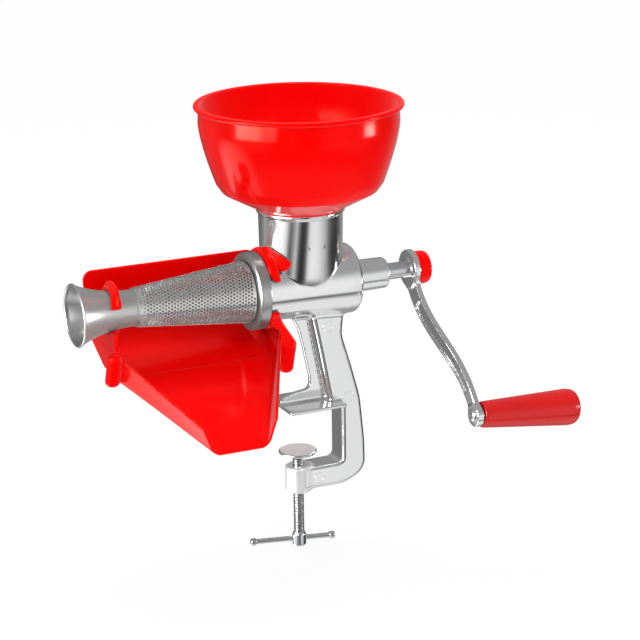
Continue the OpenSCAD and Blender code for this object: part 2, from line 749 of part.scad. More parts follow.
// A band about the barrel's axis; radii lists its outer radius against the angle from +Y to +Z
function band(r_in, radii, n = 36) = let (a0 = radii[0][0], a1 = radii[len(radii) - 1][0])
    concat([for (i = [0 : n]) let (a = lerp(a0, a1, i / n)) lookup(a, radii) * [cos(a), sin(a)]],
           [for (i = [n : -1 : 0]) let (a = lerp(a0, a1, i / n)) r_in * [cos(a), sin(a)]]);

// The left clip is a ribbed C that snaps over the waste spout
module left_clip() {
    x0 = -trough_x - trough_half_back - 1.5;
    r_in = left_ring_r;
    slab(x0, x0 + clip_w) polygon(band(r_in, [[-128, r_in + 2], [-90, r_in + 2.6], [163, r_in + 2.4]]));
    slab(x0 + 2.4, x0 + 5) polygon(band(r_in + 1, [[-20, r_in + 2.4], [30, r_in + 4.2],
                                                  [85, left_ring_out], [160, r_in + 2.2]]));
    // Plate that carries it from the side wall and the splash wall
    slab(x0, x0 + 2.6) polygon(concat(
        [[-4, -kink_drop + 4], [splash_y + 1, -back_drop], [splash_y + 1, 4], [r_in, 5]],
        reversed(arc(0, 0, r_in + 1, -110, 15))));
}

// The right clip is a strap over the barrel, in the gap between collar and neck
module right_clip() {
    inner = barrel_mouth_r + 0.9 + clip_gap;
    outer = inner + right_strap_t;
    x0 = -(collar_x - collar_l) + 0.8;
    difference() {
        union() {
            slab(x0, x0 + 9) polygon(band(inner, [[10, outer], [120, outer], [152, inner + 1.6]]));
            slab(x0, x0 + 3.2) polygon(band(inner, [[0, outer], [30, outer + 2], [95, right_top_r],
                                                   [125, outer + 1.6], [152, inner + 1.6]]));
            // Plate that carries it, and the lower jaw that reaches round to the front
            slab(x0, x0 + 3.2) polygon(concat(
                [[splash_y + 1, -back_drop], [splash_y + 1, 14]],
                [for (a = [20 : -10 : -90]) (inner + 0.6) * [cos(a), sin(a)]]));
            slab(x0, x0 + 8) polygon(band(inner, [[-152, inner + 1.8], [-110, outer + 1], [-60, outer]]));
            slab(x0, x0 + 3) polygon(concat(
                [for (a = [-140 : 10 : -60]) (inner + 0.6) * [cos(a), sin(a)]], [[4, -38], [-14, -34]]));
        }
        // Room for the neck, also when the trough is tilted
        cylinder(r = neck_r + neck_gap, h = 60);
        translate([-neck_r - neck_gap, 0, 0]) cube([60, 60, 60]);
    }
}

module drip_trough() {
    color("red") on_axis() {
        difference() {
            tub(0, 0, splash_y + trough_wall, lip_y);
            tub(trough_wall, 20, splash_y, lip_y + 1);
        }
        splash_wall();
        left_clip();
        right_clip();
        for (s = [-1, 1]) translate([-trough_x + s * (trough_half_back + 2), kink_y - 6, -kink_drop - 6]) {
            cylinder(r = post_r, h = 24);
            sphere(r = post_r);
        }
    }
}

body_casting();
shaft_bush();
shaft_seal();
hopper();
strainer_collar();
strainer_cone();
waste_spout();
auger();
drive_shaft();
drive_pin();
thrust_washer();
crank_arm();
knob_washer();
lock_knob();
knob_stud();
grip_pin();
grip_pin_head();
grip_clip();
grip();
pressure_disc();
clamp_screw();
tommy_bar();
bar_end_caps();
drip_trough();
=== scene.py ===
# %% [markdown]
# # A hand-cranked tomato strainer, dressed for a studio picture
#
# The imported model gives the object's sizes and its moving bodies. This script
# keeps those and gives every visible piece its real surface: a polished casting
# with fillets, glossy red mouldings, a rolled cone with some 1700 small holes,
# and the plated screw with its thread. Each cell below makes one thing and
# prints what it made.

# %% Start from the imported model
import math
import bmesh
import bpy
import numpy as np
from mathutils import Euler, Matrix, Vector


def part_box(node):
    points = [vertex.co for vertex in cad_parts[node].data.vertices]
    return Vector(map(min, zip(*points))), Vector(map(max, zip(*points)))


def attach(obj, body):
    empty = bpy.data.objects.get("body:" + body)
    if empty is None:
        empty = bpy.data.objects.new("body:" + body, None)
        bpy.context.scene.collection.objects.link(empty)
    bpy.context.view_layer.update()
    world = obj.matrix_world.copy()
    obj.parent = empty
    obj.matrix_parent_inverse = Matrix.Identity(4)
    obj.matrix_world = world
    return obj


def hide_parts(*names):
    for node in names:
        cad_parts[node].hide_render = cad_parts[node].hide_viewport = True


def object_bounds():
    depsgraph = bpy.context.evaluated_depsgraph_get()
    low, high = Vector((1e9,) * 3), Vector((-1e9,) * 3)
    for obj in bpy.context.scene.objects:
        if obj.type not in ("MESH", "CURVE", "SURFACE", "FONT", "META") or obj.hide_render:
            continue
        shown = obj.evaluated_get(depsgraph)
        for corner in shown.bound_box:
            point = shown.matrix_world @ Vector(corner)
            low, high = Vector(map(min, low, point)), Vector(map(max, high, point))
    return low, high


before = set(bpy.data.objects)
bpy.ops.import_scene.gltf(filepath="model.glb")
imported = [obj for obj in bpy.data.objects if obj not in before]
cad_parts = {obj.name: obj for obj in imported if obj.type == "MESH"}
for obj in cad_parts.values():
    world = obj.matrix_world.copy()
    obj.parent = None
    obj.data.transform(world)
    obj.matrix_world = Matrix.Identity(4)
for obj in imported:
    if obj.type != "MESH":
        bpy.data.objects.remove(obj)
cad_box = [list(corner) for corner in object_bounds()]

# %% [markdown]
# ## Places that everything is measured from
#
# All sizes below are in millimetres, because that is how such a product is drawn,
# and they turn into Blender's metres only when a mesh is made. The barrel's axis
# and the neck's axis cross at one point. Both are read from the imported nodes, so
# the dressed pieces follow the solids.

# %% The barrel's axis and the neck's axis
MM = 0.001


def node_span(node):
    """Lowest and highest corner of a CAD node, in millimetres."""
    low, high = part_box(node)
    return np.array(low) / MM, np.array(high) / MM


collar_low, collar_high = node_span("strainer_collar")
hopper_low, hopper_high = node_span("hopper")
axis_z = (collar_low[2] + collar_high[2]) / 2
neck_x = (hopper_low[0] + hopper_high[0]) / 2
cross = np.array([neck_x, 0.0, axis_z])
print("neck axis at x", round(neck_x, 2), "barrel axis at z", round(axis_z, 2))

# %% [markdown]
# ## Camera
#
# The picture was taken with a long lens from the front left, a little above the
# hopper's rim. The camera stands where lines of the photograph meet the object's
# known circles and axes. It is built from a position and three angles.

# %% The camera
CAMERA_AT = (-0.62991, -1.41021, 0.5386)
CAMERA_AZIMUTH = 24.73   # degrees, to the right of +Y
CAMERA_DIP = 17.05       # degrees, below the horizon
CAMERA_ROLL = -0.81      # degrees, about its own view
CAMERA_LENS = 124.84     # millimetres, on a sensor 36 mm wide

camera = bpy.data.objects.new("camera", bpy.data.cameras.new("camera"))
camera.data.lens = CAMERA_LENS
camera.data.sensor_width = 36.0
camera.data.clip_end = 30.0
turn = Euler((math.radians(90 - CAMERA_DIP), 0, -math.radians(CAMERA_AZIMUTH)))
roll = Matrix.Rotation(math.radians(CAMERA_ROLL), 4, "Z")
camera.matrix_world = (
    Matrix.Translation(CAMERA_AT) @ turn.to_matrix().to_4x4() @ roll
)
bpy.context.scene.collection.objects.link(camera)
bpy.context.scene.camera = camera
print("camera", [round(v, 3) for v in camera.location])

# %% [markdown]
# ## Light and floor
#
# Polished metal only looks like metal when there is something to reflect. Each
# upright streak on the photographed neck is a strip of the room at one heading, so
# the room is described by its brightness heading by heading: windows, pale panels
# and the dark gaps between them. Below lies a table whose near edge drops to a dark
# floor, which draws the dark line along the barrel. All of it belongs to the world,
# so it stays put when the camera walks round. Matt surfaces receive a plain level
# that falls off to the right, and to the camera itself world and floor are white.


# %% A short way to wire nodes
class Wiring:
    """Adds nodes to a tree and links their sockets in one call."""

    def __init__(self, tree):
        self.tree = tree

    def add(self, kind, *inputs, **settings):
        """A new node; inputs are (socket, value or output) pairs."""
        node = self.tree.nodes.new(kind)
        for key, value in settings.items():
            setattr(node, key, value)
        for socket, value in inputs:
            self.put(node.inputs[socket], value)
        return node

    def put(self, socket, value):
        if isinstance(value, bpy.types.NodeSocket):
            self.tree.links.new(value, socket)
        else:
            socket.default_value = value

    def math(self, operation, *values):
        """The output of one Math node."""
        return self.add("ShaderNodeMath", *enumerate(values), operation=operation).outputs[0]

    def plus(self, a, b):
        return self.math("ADD", a, b)

    def minus(self, a, b):
        return self.math("SUBTRACT", a, b)

    def times(self, a, b):
        return self.math("MULTIPLY", a, b)

    def over(self, a, b):
        return self.math("DIVIDE", a, b)

    def between(self, value, low, high):
        """Value, kept between low and high."""
        return self.math("MAXIMUM", self.math("MINIMUM", value, high), low)

    def length(self, x, y):
        """How far a point in the plane lies from the origin."""
        return self.math("SQRT", self.plus(self.times(x, x), self.times(y, y)))

    def on_circle(self, radius, angle):
        """Both coordinates of the point at this angle of a circle."""
        return [self.times(radius, self.math(part, angle)) for part in ("COSINE", "SINE")]

    def ramp(self, value, low, high, to_low=0.0, to_high=1.0):
        """Value between low and high, stretched to another range and clamped."""
        node = self.add(
            "ShaderNodeMapRange", (0, value), (1, low), (2, high),
            (3, to_low), (4, to_high), interpolation_type="SMOOTHSTEP",
        )
        return node.outputs[0]

    def blend(self, factor, first, second):
        """A colour between two others."""
        node = self.add("ShaderNodeMix", data_type="RGBA")
        self.put(node.inputs["Factor"], factor)
        self.put(node.inputs["A"], first)
        self.put(node.inputs["B"], second)
        return node.outputs["Result"]


def grey(level):
    return (level, level, level, 1.0)


print("wiring helper ready")

# %% The surroundings that metal reflects
AROUND_LEVELS = (      # (degrees to the right of +Y, brightness) a little below the horizon
    (-180, 0.45), (-177, 0.12), (-169, 0.03), (-161, 0.04), (-155, 0.2), (-149, 0.6),
    (-141, 0.3), (-133, 0.09), (-128, 0.2), (-122, 0.6), (-112, 0.95), (-84, 0.95),
    (-75, 0.45), (-66, 0.14), (-56, 0.28), (-44, 0.36), (-28, 0.2), (-10, 0.16), (8, 0.08),
    (20, 0.1), (37, 0.4), (62, 0.27), (80, 0.09), (93, 0.03), (107, 0.03), (119, 0.12),
    (126, 0.36), (138, 0.6), (150, 0.82), (162, 0.92), (174, 0.85), (180, 0.42),
)
CEILING_LEVEL = 0.36
TABLE_LEVEL = 0.85
BACK_LEVEL = 0.35      # the table behind the object, in its own shade
SHADE_LEVEL = 0.1      # the dark floor in front of the table's edge
SHEET_LEVEL = 3.1      # a lit sheet that lies low on the left
PLAIN_LEVELS = (1.25, 0.62)            # what matt surfaces receive from the left and from the right

# Where one gives way to the next: the upward share of a direction, 1 being straight up
CEILING_RISE = (0.05, 0.6)
TABLE_TOP = (-0.57, -0.47)
TABLE_EDGE = (-0.76, -0.57)
FAR_HALF = (-0.1, 0.3)                 # the same for its share along +Y, which points behind the object
LEFT_TO_RIGHT = (-0.8, 0.8)            # and for its share along +X
SHEET_AT = (-0.655, 0.345, -0.672)
SHEET_ANGLES = (25, 14)                # degrees from its middle to its dark and to its bright edge
print("the room is described at", len(AROUND_LEVELS), "headings")

# %% The panels around, and the table
world = bpy.data.worlds.new("studio")
bpy.context.scene.world = world
world.use_nodes = True
world.node_tree.nodes.clear()
w = Wiring(world.node_tree)
direction = w.add("ShaderNodeTexCoord").outputs["Generated"]
east, north, up = w.add("ShaderNodeSeparateXYZ", (0, direction)).outputs
heading = w.math("ARCTAN2", east, north)
around = w.add("ShaderNodeMapRange", (0, heading), (1, -math.pi), (2, math.pi)).outputs[0]
panels = w.add("ShaderNodeValToRGB", (0, around))
panels.color_ramp.interpolation = "EASE"
stops = panels.color_ramp.elements
stops[0].position, stops[1].position = 0.0, 1.0
stops[0].color, stops[1].color = grey(AROUND_LEVELS[0][1]), grey(AROUND_LEVELS[-1][1])
for degrees, level in AROUND_LEVELS[1:-1]:
    stops.new((degrees + 180) / 360).color = grey(level)
in_front = w.ramp(north, *FAR_HALF, 1.0, 0.0)
front_table = w.blend(w.ramp(up, *TABLE_EDGE, 1.0, 0.0), grey(SHADE_LEVEL), grey(TABLE_LEVEL))
table = w.blend(in_front, grey(BACK_LEVEL), front_table)
print("panels and table wired")


# %% The whole world, as each kind of ray sees it
def towards(place, wide, narrow):
    """1 in the direction of place, 0 beyond an angle; angles in degrees."""
    ahead = w.add("ShaderNodeVectorMath", (0, direction), (1, place), operation="DOT_PRODUCT")
    return w.ramp(ahead.outputs["Value"], *np.cos(np.radians([wide, narrow])).tolist())


level = w.blend(w.ramp(up, *TABLE_TOP, 1.0, 0.0), panels.outputs[0], table)
level = w.blend(towards(SHEET_AT, *SHEET_ANGLES), level, grey(SHEET_LEVEL))
level = w.blend(w.ramp(up, *CEILING_RISE), level, grey(CEILING_LEVEL))
path = w.add("ShaderNodeLightPath").outputs
plain = w.ramp(east, *LEFT_TO_RIGHT, *PLAIN_LEVELS)
level = w.blend(path["Is Glossy Ray"], plain, level)
studio = w.blend(path["Is Camera Ray"], level, grey(1.0))
surface = w.add("ShaderNodeBackground", ("Color", studio), ("Strength", 1.0)).outputs[0]
w.add("ShaderNodeOutputWorld", ("Surface", surface))
print("world nodes:", len(world.node_tree.nodes))

# %% Floor
FLOOR_SIZE = 6.0         # metres
FLOOR_GLOW = 0.91        # share of plain white that the camera sees in it
floor_z = cad_box[0][2] - 0.0004

floor_mesh = bpy.data.meshes.new("floor")
half_floor = FLOOR_SIZE / 2
floor_mesh.from_pydata(
    [(sx * half_floor, sy * half_floor, floor_z) for sx, sy in
     ((-1, -1), (1, -1), (1, 1), (-1, 1))], [], [(0, 1, 2, 3)])
floor = bpy.data.objects.new("floor", floor_mesh)
bpy.context.scene.collection.objects.link(floor)

paper = bpy.data.materials.new("studio_floor")
paper.use_nodes = True
paper.node_tree.nodes.clear()
w = Wiring(paper.node_tree)
matt = w.add("ShaderNodeBsdfDiffuse", ("Color", grey(0.82))).outputs[0]
glow = w.add("ShaderNodeEmission", ("Color", grey(1.0)), ("Strength", 1.0)).outputs[0]
path = w.add("ShaderNodeLightPath").outputs
seen = w.times(path["Is Camera Ray"], FLOOR_GLOW)
mixed = w.add("ShaderNodeMixShader", (0, seen), (1, matt), (2, glow)).outputs[0]
w.add("ShaderNodeOutputMaterial", ("Surface", mixed))
floor_mesh.materials.append(paper)
floor.visible_glossy = False      # metal reflects the world's table in its place
print("floor at z", round(floor_z, 4))

# %% Soft boxes
def soft_box(name, place, aim, width, height, power, highlights):
    """A rectangular lamp, unseen itself: it makes highlights, or else it lights matt surfaces."""
    lamp = bpy.data.lights.new(name, "AREA")
    lamp.shape = "RECTANGLE"
    lamp.size, lamp.size_y = width, height
    lamp.energy = power
    holder = bpy.data.objects.new(name, lamp)
    holder.location = place
    holder.rotation_euler = (Vector(place) - Vector(aim)).to_track_quat("Z", "Y").to_euler()
    holder.visible_camera = False
    holder.visible_diffuse, holder.visible_glossy = not highlights, highlights
    bpy.context.scene.collection.objects.link(holder)


BOWL_SIDE, BOWL, BARREL = (0.0, 0.0, 0.19), (0.0, 0.0, 0.2), (0.0, 0.0, 0.08)
soft_box("window", (-0.99, -0.14, 0.21), BOWL_SIDE, 0.54, 0.5, 18.0, True)
soft_box("window_beside", (-0.85, -0.53, 0.21), BOWL_SIDE, 0.32, 0.5, 4.4, True)
soft_box("low_lamp_right", (0.72, -0.43, 0.04), BOWL, 0.19, 0.09, 1.8, True)
soft_box("ceiling_lamp", (0.1, 0.3, 1.7), BARREL, 1.2, 0.9, 16.0, False)
soft_box("front_lamp", (0.3, -1.9, 1.5), BARREL, 0.5, 0.5, 8.0, False)
print("soft boxes:", len(bpy.data.lights))

# %% [markdown]
# ## Finishes
#
# Two node groups serve several finishes. One gives a slow, cloudy change of a
# value, as real surfaces have from handling and polishing. The other gives a fine
# relief height. Each material places them with its own scale, and keeps its own
# shader, so that the numbers that are the same all over stay on the shader.


# %% The two shared groups
def new_group(name, inputs, outputs):
    """An empty shader group with named float sockets."""
    group = bpy.data.node_groups.new(name, "ShaderNodeTree")
    for socket, value in inputs:
        made = group.interface.new_socket(socket, in_out="INPUT", socket_type="NodeSocketFloat")
        made.default_value = value
    for socket in outputs:
        group.interface.new_socket(socket, in_out="OUTPUT", socket_type="NodeSocketFloat")
    w = Wiring(group)
    return group, w, w.add("NodeGroupInput").outputs, w.add("NodeGroupOutput")


clouds, w, given, result = new_group(
    "cloudy_value", [("Scale", 20.0), ("Low", 0.1), ("High", 0.2)], ["Value"])
at = w.add("ShaderNodeTexCoord").outputs["Object"]
noise = w.add("ShaderNodeTexNoise", ("Vector", at), ("Scale", given["Scale"]), ("Detail", 4.0))
value = w.add("ShaderNodeMapRange", (0, noise.outputs[0]), (1, 0.3), (2, 0.7),
              (3, given["Low"]), (4, given["High"]))
w.put(result.inputs["Value"], value.outputs[0])

relief, w, given, result = new_group(
    "fine_relief", [("Scale", 300.0), ("Stretch", 1.0)], ["Height"])
at = w.add("ShaderNodeTexCoord").outputs["Object"]
axes = w.add("ShaderNodeSeparateXYZ", (0, at)).outputs
drawn = w.add("ShaderNodeCombineXYZ", (0, w.times(axes[0], given["Stretch"])),
              (1, axes[1]), (2, axes[2])).outputs[0]
noise = w.add("ShaderNodeTexNoise", ("Vector", drawn), ("Scale", given["Scale"]), ("Detail", 3.0))
w.put(result.inputs["Height"], noise.outputs[0])
print("groups:", clouds.name, relief.name)


# %% One recipe for a finish
MIRROR_SHARE = 0.95              # how far a colour moves towards its colour in reflections
SHED_SHARE = 0.7                 # and towards the pale one in the light that it sheds
SHED_RED = (0.85, 0.62, 0.6)


def finish(name, colour, tint, metallic, roughness, relief_scale, relief_depth,
           stretch=1.0, cloud_scale=25.0, mirrored=None, **fixed):
    """A material whose colour and roughness drift slowly, with a fine relief.

    colour and tint are the two ends of the drift, roughness its lowest and
    highest value, and relief_depth the height of the relief in metres. If
    mirrored is given, the colour moves towards it in a reflection, and towards a
    pale one in the light that it sheds on its surroundings.
    """
    material = bpy.data.materials.new(name)
    material.use_nodes = True
    tree = material.node_tree
    tree.nodes.clear()
    w = Wiring(tree)
    drift = w.add("ShaderNodeGroup", ("Scale", cloud_scale * 0.5), ("Low", 0.0), ("High", 1.0),
                  node_tree=clouds).outputs[0]
    rough = w.add("ShaderNodeGroup", ("Scale", cloud_scale), ("Low", roughness[0]),
                  ("High", roughness[1]), node_tree=clouds).outputs[0]
    grain = w.add("ShaderNodeGroup", ("Scale", relief_scale), ("Stretch", stretch),
                  node_tree=relief).outputs[0]
    bump = w.add("ShaderNodeBump", ("Strength", 1.0), ("Distance", relief_depth), ("Height", grain))
    base = w.blend(drift, (*colour, 1.0), (*tint, 1.0))
    if mirrored:
        path = w.add("ShaderNodeLightPath").outputs
        base = w.blend(w.times(path["Is Glossy Ray"], MIRROR_SHARE), base, (*mirrored, 1.0))
        base = w.blend(w.times(path["Is Diffuse Ray"], SHED_SHARE), base, (*SHED_RED, 1.0))
    shader = w.add("ShaderNodeBsdfPrincipled", ("Base Color", base), ("Roughness", rough),
                   ("Normal", bump.outputs[0]), ("Metallic", metallic))
    for socket, value in fixed.items():
        shader.inputs[socket.replace("_", " ")].default_value = value
    w.add("ShaderNodeOutputMaterial", ("Surface", shader.outputs[0]))
    return material


print("a recipe for finishes is ready")

# %% Red plastics
WARM_SHEEN = (1.0, 0.28, 0.2, 1.0)      # red pigment near the surface tints its reflections
PALE_SHEEN = (1.0, 0.8, 0.8, 1.0)
IN_METAL = (0.4, 0.35, 0.35)            # the picture's metal shows the red pieces as nearly grey
red_gloss = finish("red_gloss", (0.92, 0.0, 0.0), (0.84, 0.0, 0.0), 0.0, (0.12, 0.17), 60, 0.00001,
                   mirrored=IN_METAL, Specular_Tint=WARM_SHEEN, Specular_IOR_Level=0.28)
red_satin = finish("red_satin", (0.60, 0.002, 0.002), (0.52, 0.001, 0.001), 0.0, (0.2, 0.26), 900,
                   0.00001, mirrored=IN_METAL, Specular_Tint=PALE_SHEEN, Specular_IOR_Level=0.6)
print("red plastics:", red_gloss.name, red_satin.name)

# %% Cast aluminium and sheet steel
polished_casting = finish("polished_casting", (0.90, 0.90, 0.905), (0.84, 0.845, 0.85), 1.0,
                          (0.10, 0.17), 320, 0.000012)
as_cast = finish("as_cast", (0.93, 0.93, 0.93), (0.86, 0.86, 0.86), 0.75, (0.4, 0.5), 500, 0.00002)
ROLLED = 8.0                            # rolling draws a sheet's grain out along one way
stainless = finish("stainless", (0.72, 0.72, 0.71), (0.64, 0.64, 0.63), 1.0,
                   (0.28, 0.38), 700, 0.000004, stretch=ROLLED)
# dull steel for the collar; inside the waste spout the same finish is a painted shade
dull_steel_and_inner_shade = finish("dull_steel_and_inner_shade", (0.52, 0.52, 0.52), (0.42, 0.42, 0.42), 1.0,
                    (0.26, 0.34), 700, 0.000004)
strainer_sheet = finish("strainer_sheet", (0.86, 0.86, 0.85), (0.76, 0.76, 0.75), 1.0,
                        (0.2, 0.27), 700, 0.000003, stretch=ROLLED)
# painted shade: near black, so that the holes in the cone look dark
sheet_painted_shade = finish("sheet_painted_shade", (0.1, 0.1, 0.1), (0.07, 0.07, 0.07), 1.0,
                      (0.5, 0.6), 700, 0.000004)
print("aluminium and sheet:", polished_casting.name, as_cast.name, stainless.name, dull_steel_and_inner_shade.name)

# %% Plated and blasted steel, bronze, rubber and nylon
zinc = finish("zinc_plate", (0.70, 0.71, 0.72), (0.62, 0.63, 0.64), 1.0, (0.16, 0.26), 500, 0.000006)
thread_steel = finish("thread_steel", (0.72, 0.73, 0.74), (0.66, 0.67, 0.68), 1.0,
                      (0.18, 0.26), 500, 0.000006)
blasted_steel = finish("blasted_steel", (0.86, 0.86, 0.85), (0.80, 0.80, 0.79), 0.3,
                       (0.38, 0.46), 900, 0.00001)
bronze = finish("bronze", (0.62, 0.40, 0.20), (0.54, 0.34, 0.17), 1.0, (0.3, 0.4), 600, 0.000006)
seal_rubber = finish("seal_rubber", (0.03, 0.03, 0.03), (0.02, 0.02, 0.02), 0.0,
                     (0.6, 0.7), 800, 0.00002)
white_nylon = finish("white_nylon", (0.80, 0.79, 0.76), (0.74, 0.73, 0.70), 0.0,
                     (0.32, 0.42), 500, 0.00001)
# painted shade: the conveyor is coloured as dark as it looks through the cone's holes
nylon_in_painted_shade = finish("nylon_in_painted_shade", (0.46, 0.44, 0.41), (0.36, 0.34, 0.31), 0.0,
                    (0.32, 0.42), 500, 0.00001)
print("small parts:", zinc.name, bronze.name, seal_rubber.name, white_nylon.name)


# %% Painted shade darkens the grooves of the thread
GROOVE, CREST = 0.00345, 0.0039      # metres from the screw's axis
# the grooves are painted this dark, a painted shade that draws the thread's dark bands
GROOVE_SHADE_LEVEL = 0.06
w = Wiring(thread_steel.node_tree)
shader = next(n for n in w.tree.nodes if n.type == "BSDF_PRINCIPLED")
# the plated colour, used outside the painted shade
clean = shader.inputs["Base Color"].links[0].from_socket
at = w.add("ShaderNodeTexCoord").outputs["Object"]
x, y, _ = w.add("ShaderNodeSeparateXYZ", (0, at)).outputs
# 1 outside the grooves and 0 in them, where the shade is painted
clear = w.ramp(w.length(x, y), GROOVE, CREST)
w.put(shader.inputs["Base Color"], w.blend(clear, grey(GROOVE_SHADE_LEVEL), clean))
print("thread darkened in its grooves")


# %% A second finish on some faces of a piece
def refinish(item, material, chosen):
    """Gives another finish to the faces whose centre, in millimetres, is chosen."""
    item.data.materials.append(material)
    count = 0
    for face in item.data.polygons:
        if chosen(*(face.center / MM)):
            face.material_index = len(item.data.materials) - 1
            count += 1
    print(f"{item.name}: {count} faces in {material.name}")


print("second finishes ready")

# %% [markdown]
# ## Turning an outline into a piece
#
# Many pieces of a strainer are turned or spun: the hopper's bowl, the knob, the
# grip, the collar. A screw modifier could sweep them, but its shading goes soft at
# every corner. Here an outline is a list of corners with the radius of each
# fillet, and every ring of the mesh carries the true normal of the outline, so a
# flat stays flat right up to the fillet and reflections run clean.


# %% Outlines with filleted corners
def rounded(corners, step=12.0):
    """Points and the normals on both sides of each point, for a closed outline.

    Every corner is (radius, distance, fillet). The outline runs anticlockwise.
    """
    count = len(corners)
    points, before, after = [], [], []

    def outward(start, end):
        run = (end - start) / max(np.linalg.norm(end - start), 1e-9)
        return np.array([run[1], -run[0]])

    spots = [np.array(corner[:2], float) for corner in corners]
    for i, (_, _, fillet) in enumerate(corners):
        here, last, following = spots[i], spots[i - 1], spots[(i + 1) % count]
        into, out_of = outward(last, here), outward(here, following)
        to_last, to_next = last - here, following - here
        reach_last, reach_next = np.linalg.norm(to_last), np.linalg.norm(to_next)
        cosine = np.clip(to_last @ to_next / (reach_last * reach_next), -1, 1)
        half = math.acos(cosine) / 2
        if fillet <= 0 or half > 1.55:
            points.append(here)
            before.append(into)
            after.append(out_of)
            continue
        # The fillet is an arc that touches both sides, and it takes at most half of each
        reach = min(fillet / math.tan(half), reach_last * 0.5, reach_next * 0.5)
        radius = reach * math.tan(half)
        bisector = to_last / reach_last + to_next / reach_next
        centre = here + bisector / np.linalg.norm(bisector) * radius / math.sin(half)
        convex = 1.0 if np.cross(-to_last, to_next) > 0 else -1.0
        turn = math.acos(np.clip(into @ out_of, -1, 1))
        parts = max(2, math.ceil(math.degrees(turn) / step))
        for k in range(parts + 1):
            angle = convex * turn * k / parts
            c, s = math.cos(angle), math.sin(angle)
            normal = np.array([c * into[0] - s * into[1], s * into[0] + c * into[1]])
            points.append(centre + convex * radius * normal)
            before.append(normal)
            after.append(normal)
    return np.array(points), np.array(before), np.array(after)


def smooth_run(points):
    """A run of curve points as corners; their normals are evened out when revolved."""
    return [(float(r), float(z), -1.0) for r, z in points]


print("a square with fillets has", len(rounded([(1, 0, .2), (2, 0, .2), (2, 1, .2), (1, 1, .2)])[0]),
      "points")


# %% Meshes, places and pieces
UPRIGHT = np.eye(3)
ALONG_X = np.array([[0, 0, 1], [1, 0, 0], [0, 1, 0]], float)
made = []


def new_mesh(name, points, faces, normals=None):
    """A smooth mesh from points in millimetres, with a normal for each face corner."""
    mesh = bpy.data.meshes.new(name)
    mesh.from_pydata((np.asarray(points) * MM).tolist(), [], faces)
    mesh.update()
    mesh.polygons.foreach_set("use_smooth", [True] * len(mesh.polygons))
    if normals is not None:
        mesh.normals_split_custom_set(normals.tolist())
    return mesh


def piece(name, mesh, material, body, slot, *nodes):
    """An object at the origin that rides on a body and stands for CAD nodes."""
    item = bpy.data.objects.new(name, mesh)
    bpy.context.scene.collection.objects.link(item)
    mesh.materials.clear()
    mesh.materials.append(material)
    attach(item, body)
    if nodes:
        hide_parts(*nodes)
    made.append(name)
    print(f"{name}: {len(mesh.polygons)} faces")
    return item


print("helpers for meshes and pieces ready")


# %% Spinning an outline
def revolve(corners, turn=ALONG_X, centre=None, parts=128, smooth=28.0):
    """Points, faces and corner normals of a closed outline spun about its axis.

    Where the outline bends by less than smooth degrees, it is shaded as a curve.
    """
    centre = cross if centre is None else np.asarray(centre, float)
    points, before, after = rounded(corners)
    if sum(np.cross(points[i - 1], points[i]) for i in range(len(points))) < 0:
        points, before, after = points[::-1], -after[::-1], -before[::-1]
    bend = np.degrees(np.arccos(np.clip(np.einsum("ij,ij->i", before, after), -1, 1)))
    even = (before + after) / np.linalg.norm(before + after, axis=1, keepdims=True).clip(1e-9)
    soft = (bend < smooth)[:, None]
    before, after = np.where(soft, even, before), np.where(soft, even, after)

    # A ring of points for each point of the outline, or a single one on the axis
    angles = np.linspace(0, 2 * np.pi, parts, endpoint=False)
    circle = np.stack([np.cos(angles), np.sin(angles)], 1)
    spots, index = [], []
    for radius, distance in points:
        if radius < 1e-6:
            index.append([len(spots)] * (parts + 1))
            spots.append((0.0, 0.0, distance))
        else:
            first = len(spots)
            index.append([*range(first, first + parts), first])
            spots += [(radius * c, radius * s, distance) for c, s in circle]

    # A quad between two rings, or a triangle where one of them is on the axis
    faces, normals = [], []
    ring = np.vstack([circle, circle[:1]])
    for i in range(len(points)):
        j = (i + 1) % len(points)
        if points[i][0] < 1e-6 and points[j][0] < 1e-6:
            continue
        for k in range(parts):
            loop = [(i, k), (i, k + 1), (j, k + 1), (j, k)]
            face, seen = [], []
            for a, b in loop:
                corner = index[a][b]
                if corner in face:
                    continue
                n = after[i] if a == i else before[j]
                face.append(corner)
                seen.append((n[0] * ring[b][0], n[0] * ring[b][1], n[1]))
            faces.append(face)
            normals += seen
    return np.array(spots) @ turn.T + centre, faces, np.array(normals) @ turn.T


def revolved_mesh(name, corners, **options):
    return new_mesh(name, *revolve(corners, **options))


def turned(name, corners, material, body, slot, *nodes, **options):
    """A piece made by spinning one outline."""
    return piece(name, revolved_mesh(name, corners, **options), material, body, slot, *nodes)


def joined(name, meshes):
    """One mesh out of several, each keeping its own corner normals."""
    holders = []
    for mesh in meshes:
        holder = bpy.data.objects.new(name, mesh)
        bpy.context.scene.collection.objects.link(holder)
        holders.append(holder)
    with bpy.context.temp_override(active_object=holders[0], selected_editable_objects=holders,
                                   selected_objects=holders, object=holders[0]):
        bpy.ops.object.join()
    mesh = holders[0].data
    bpy.data.objects.remove(holders[0])
    mesh.name = name
    return mesh


print("helpers for turned pieces ready")

# %% [markdown]
# ## Hopper
#
# The hopper is one red moulding: a deep bowl, a floor like a shallow cone, and a
# spigot that drops into the neck. A rolled bead stiffens its rim and catches the
# light all the way round. The wall leans out and then turns upright, which a
# power of the height draws well.

# %% The hopper's outline
SPIGOT_L = 24.0
neck_top = hopper_low[2] + SPIGOT_L
BOWL_WALL = 2.4
BOWL_R, KNEE_IN = 72.0, 11.7           # radius of the upright part, and how much less the knee's is
UPRIGHT_H, SIDE_H = 62.9, 43.7         # where the upright part begins, and how far down the knee is
SIDE_POWER = 1.4
BEAD_AT, BEAD_R = (73.3, 74.8), 1.7


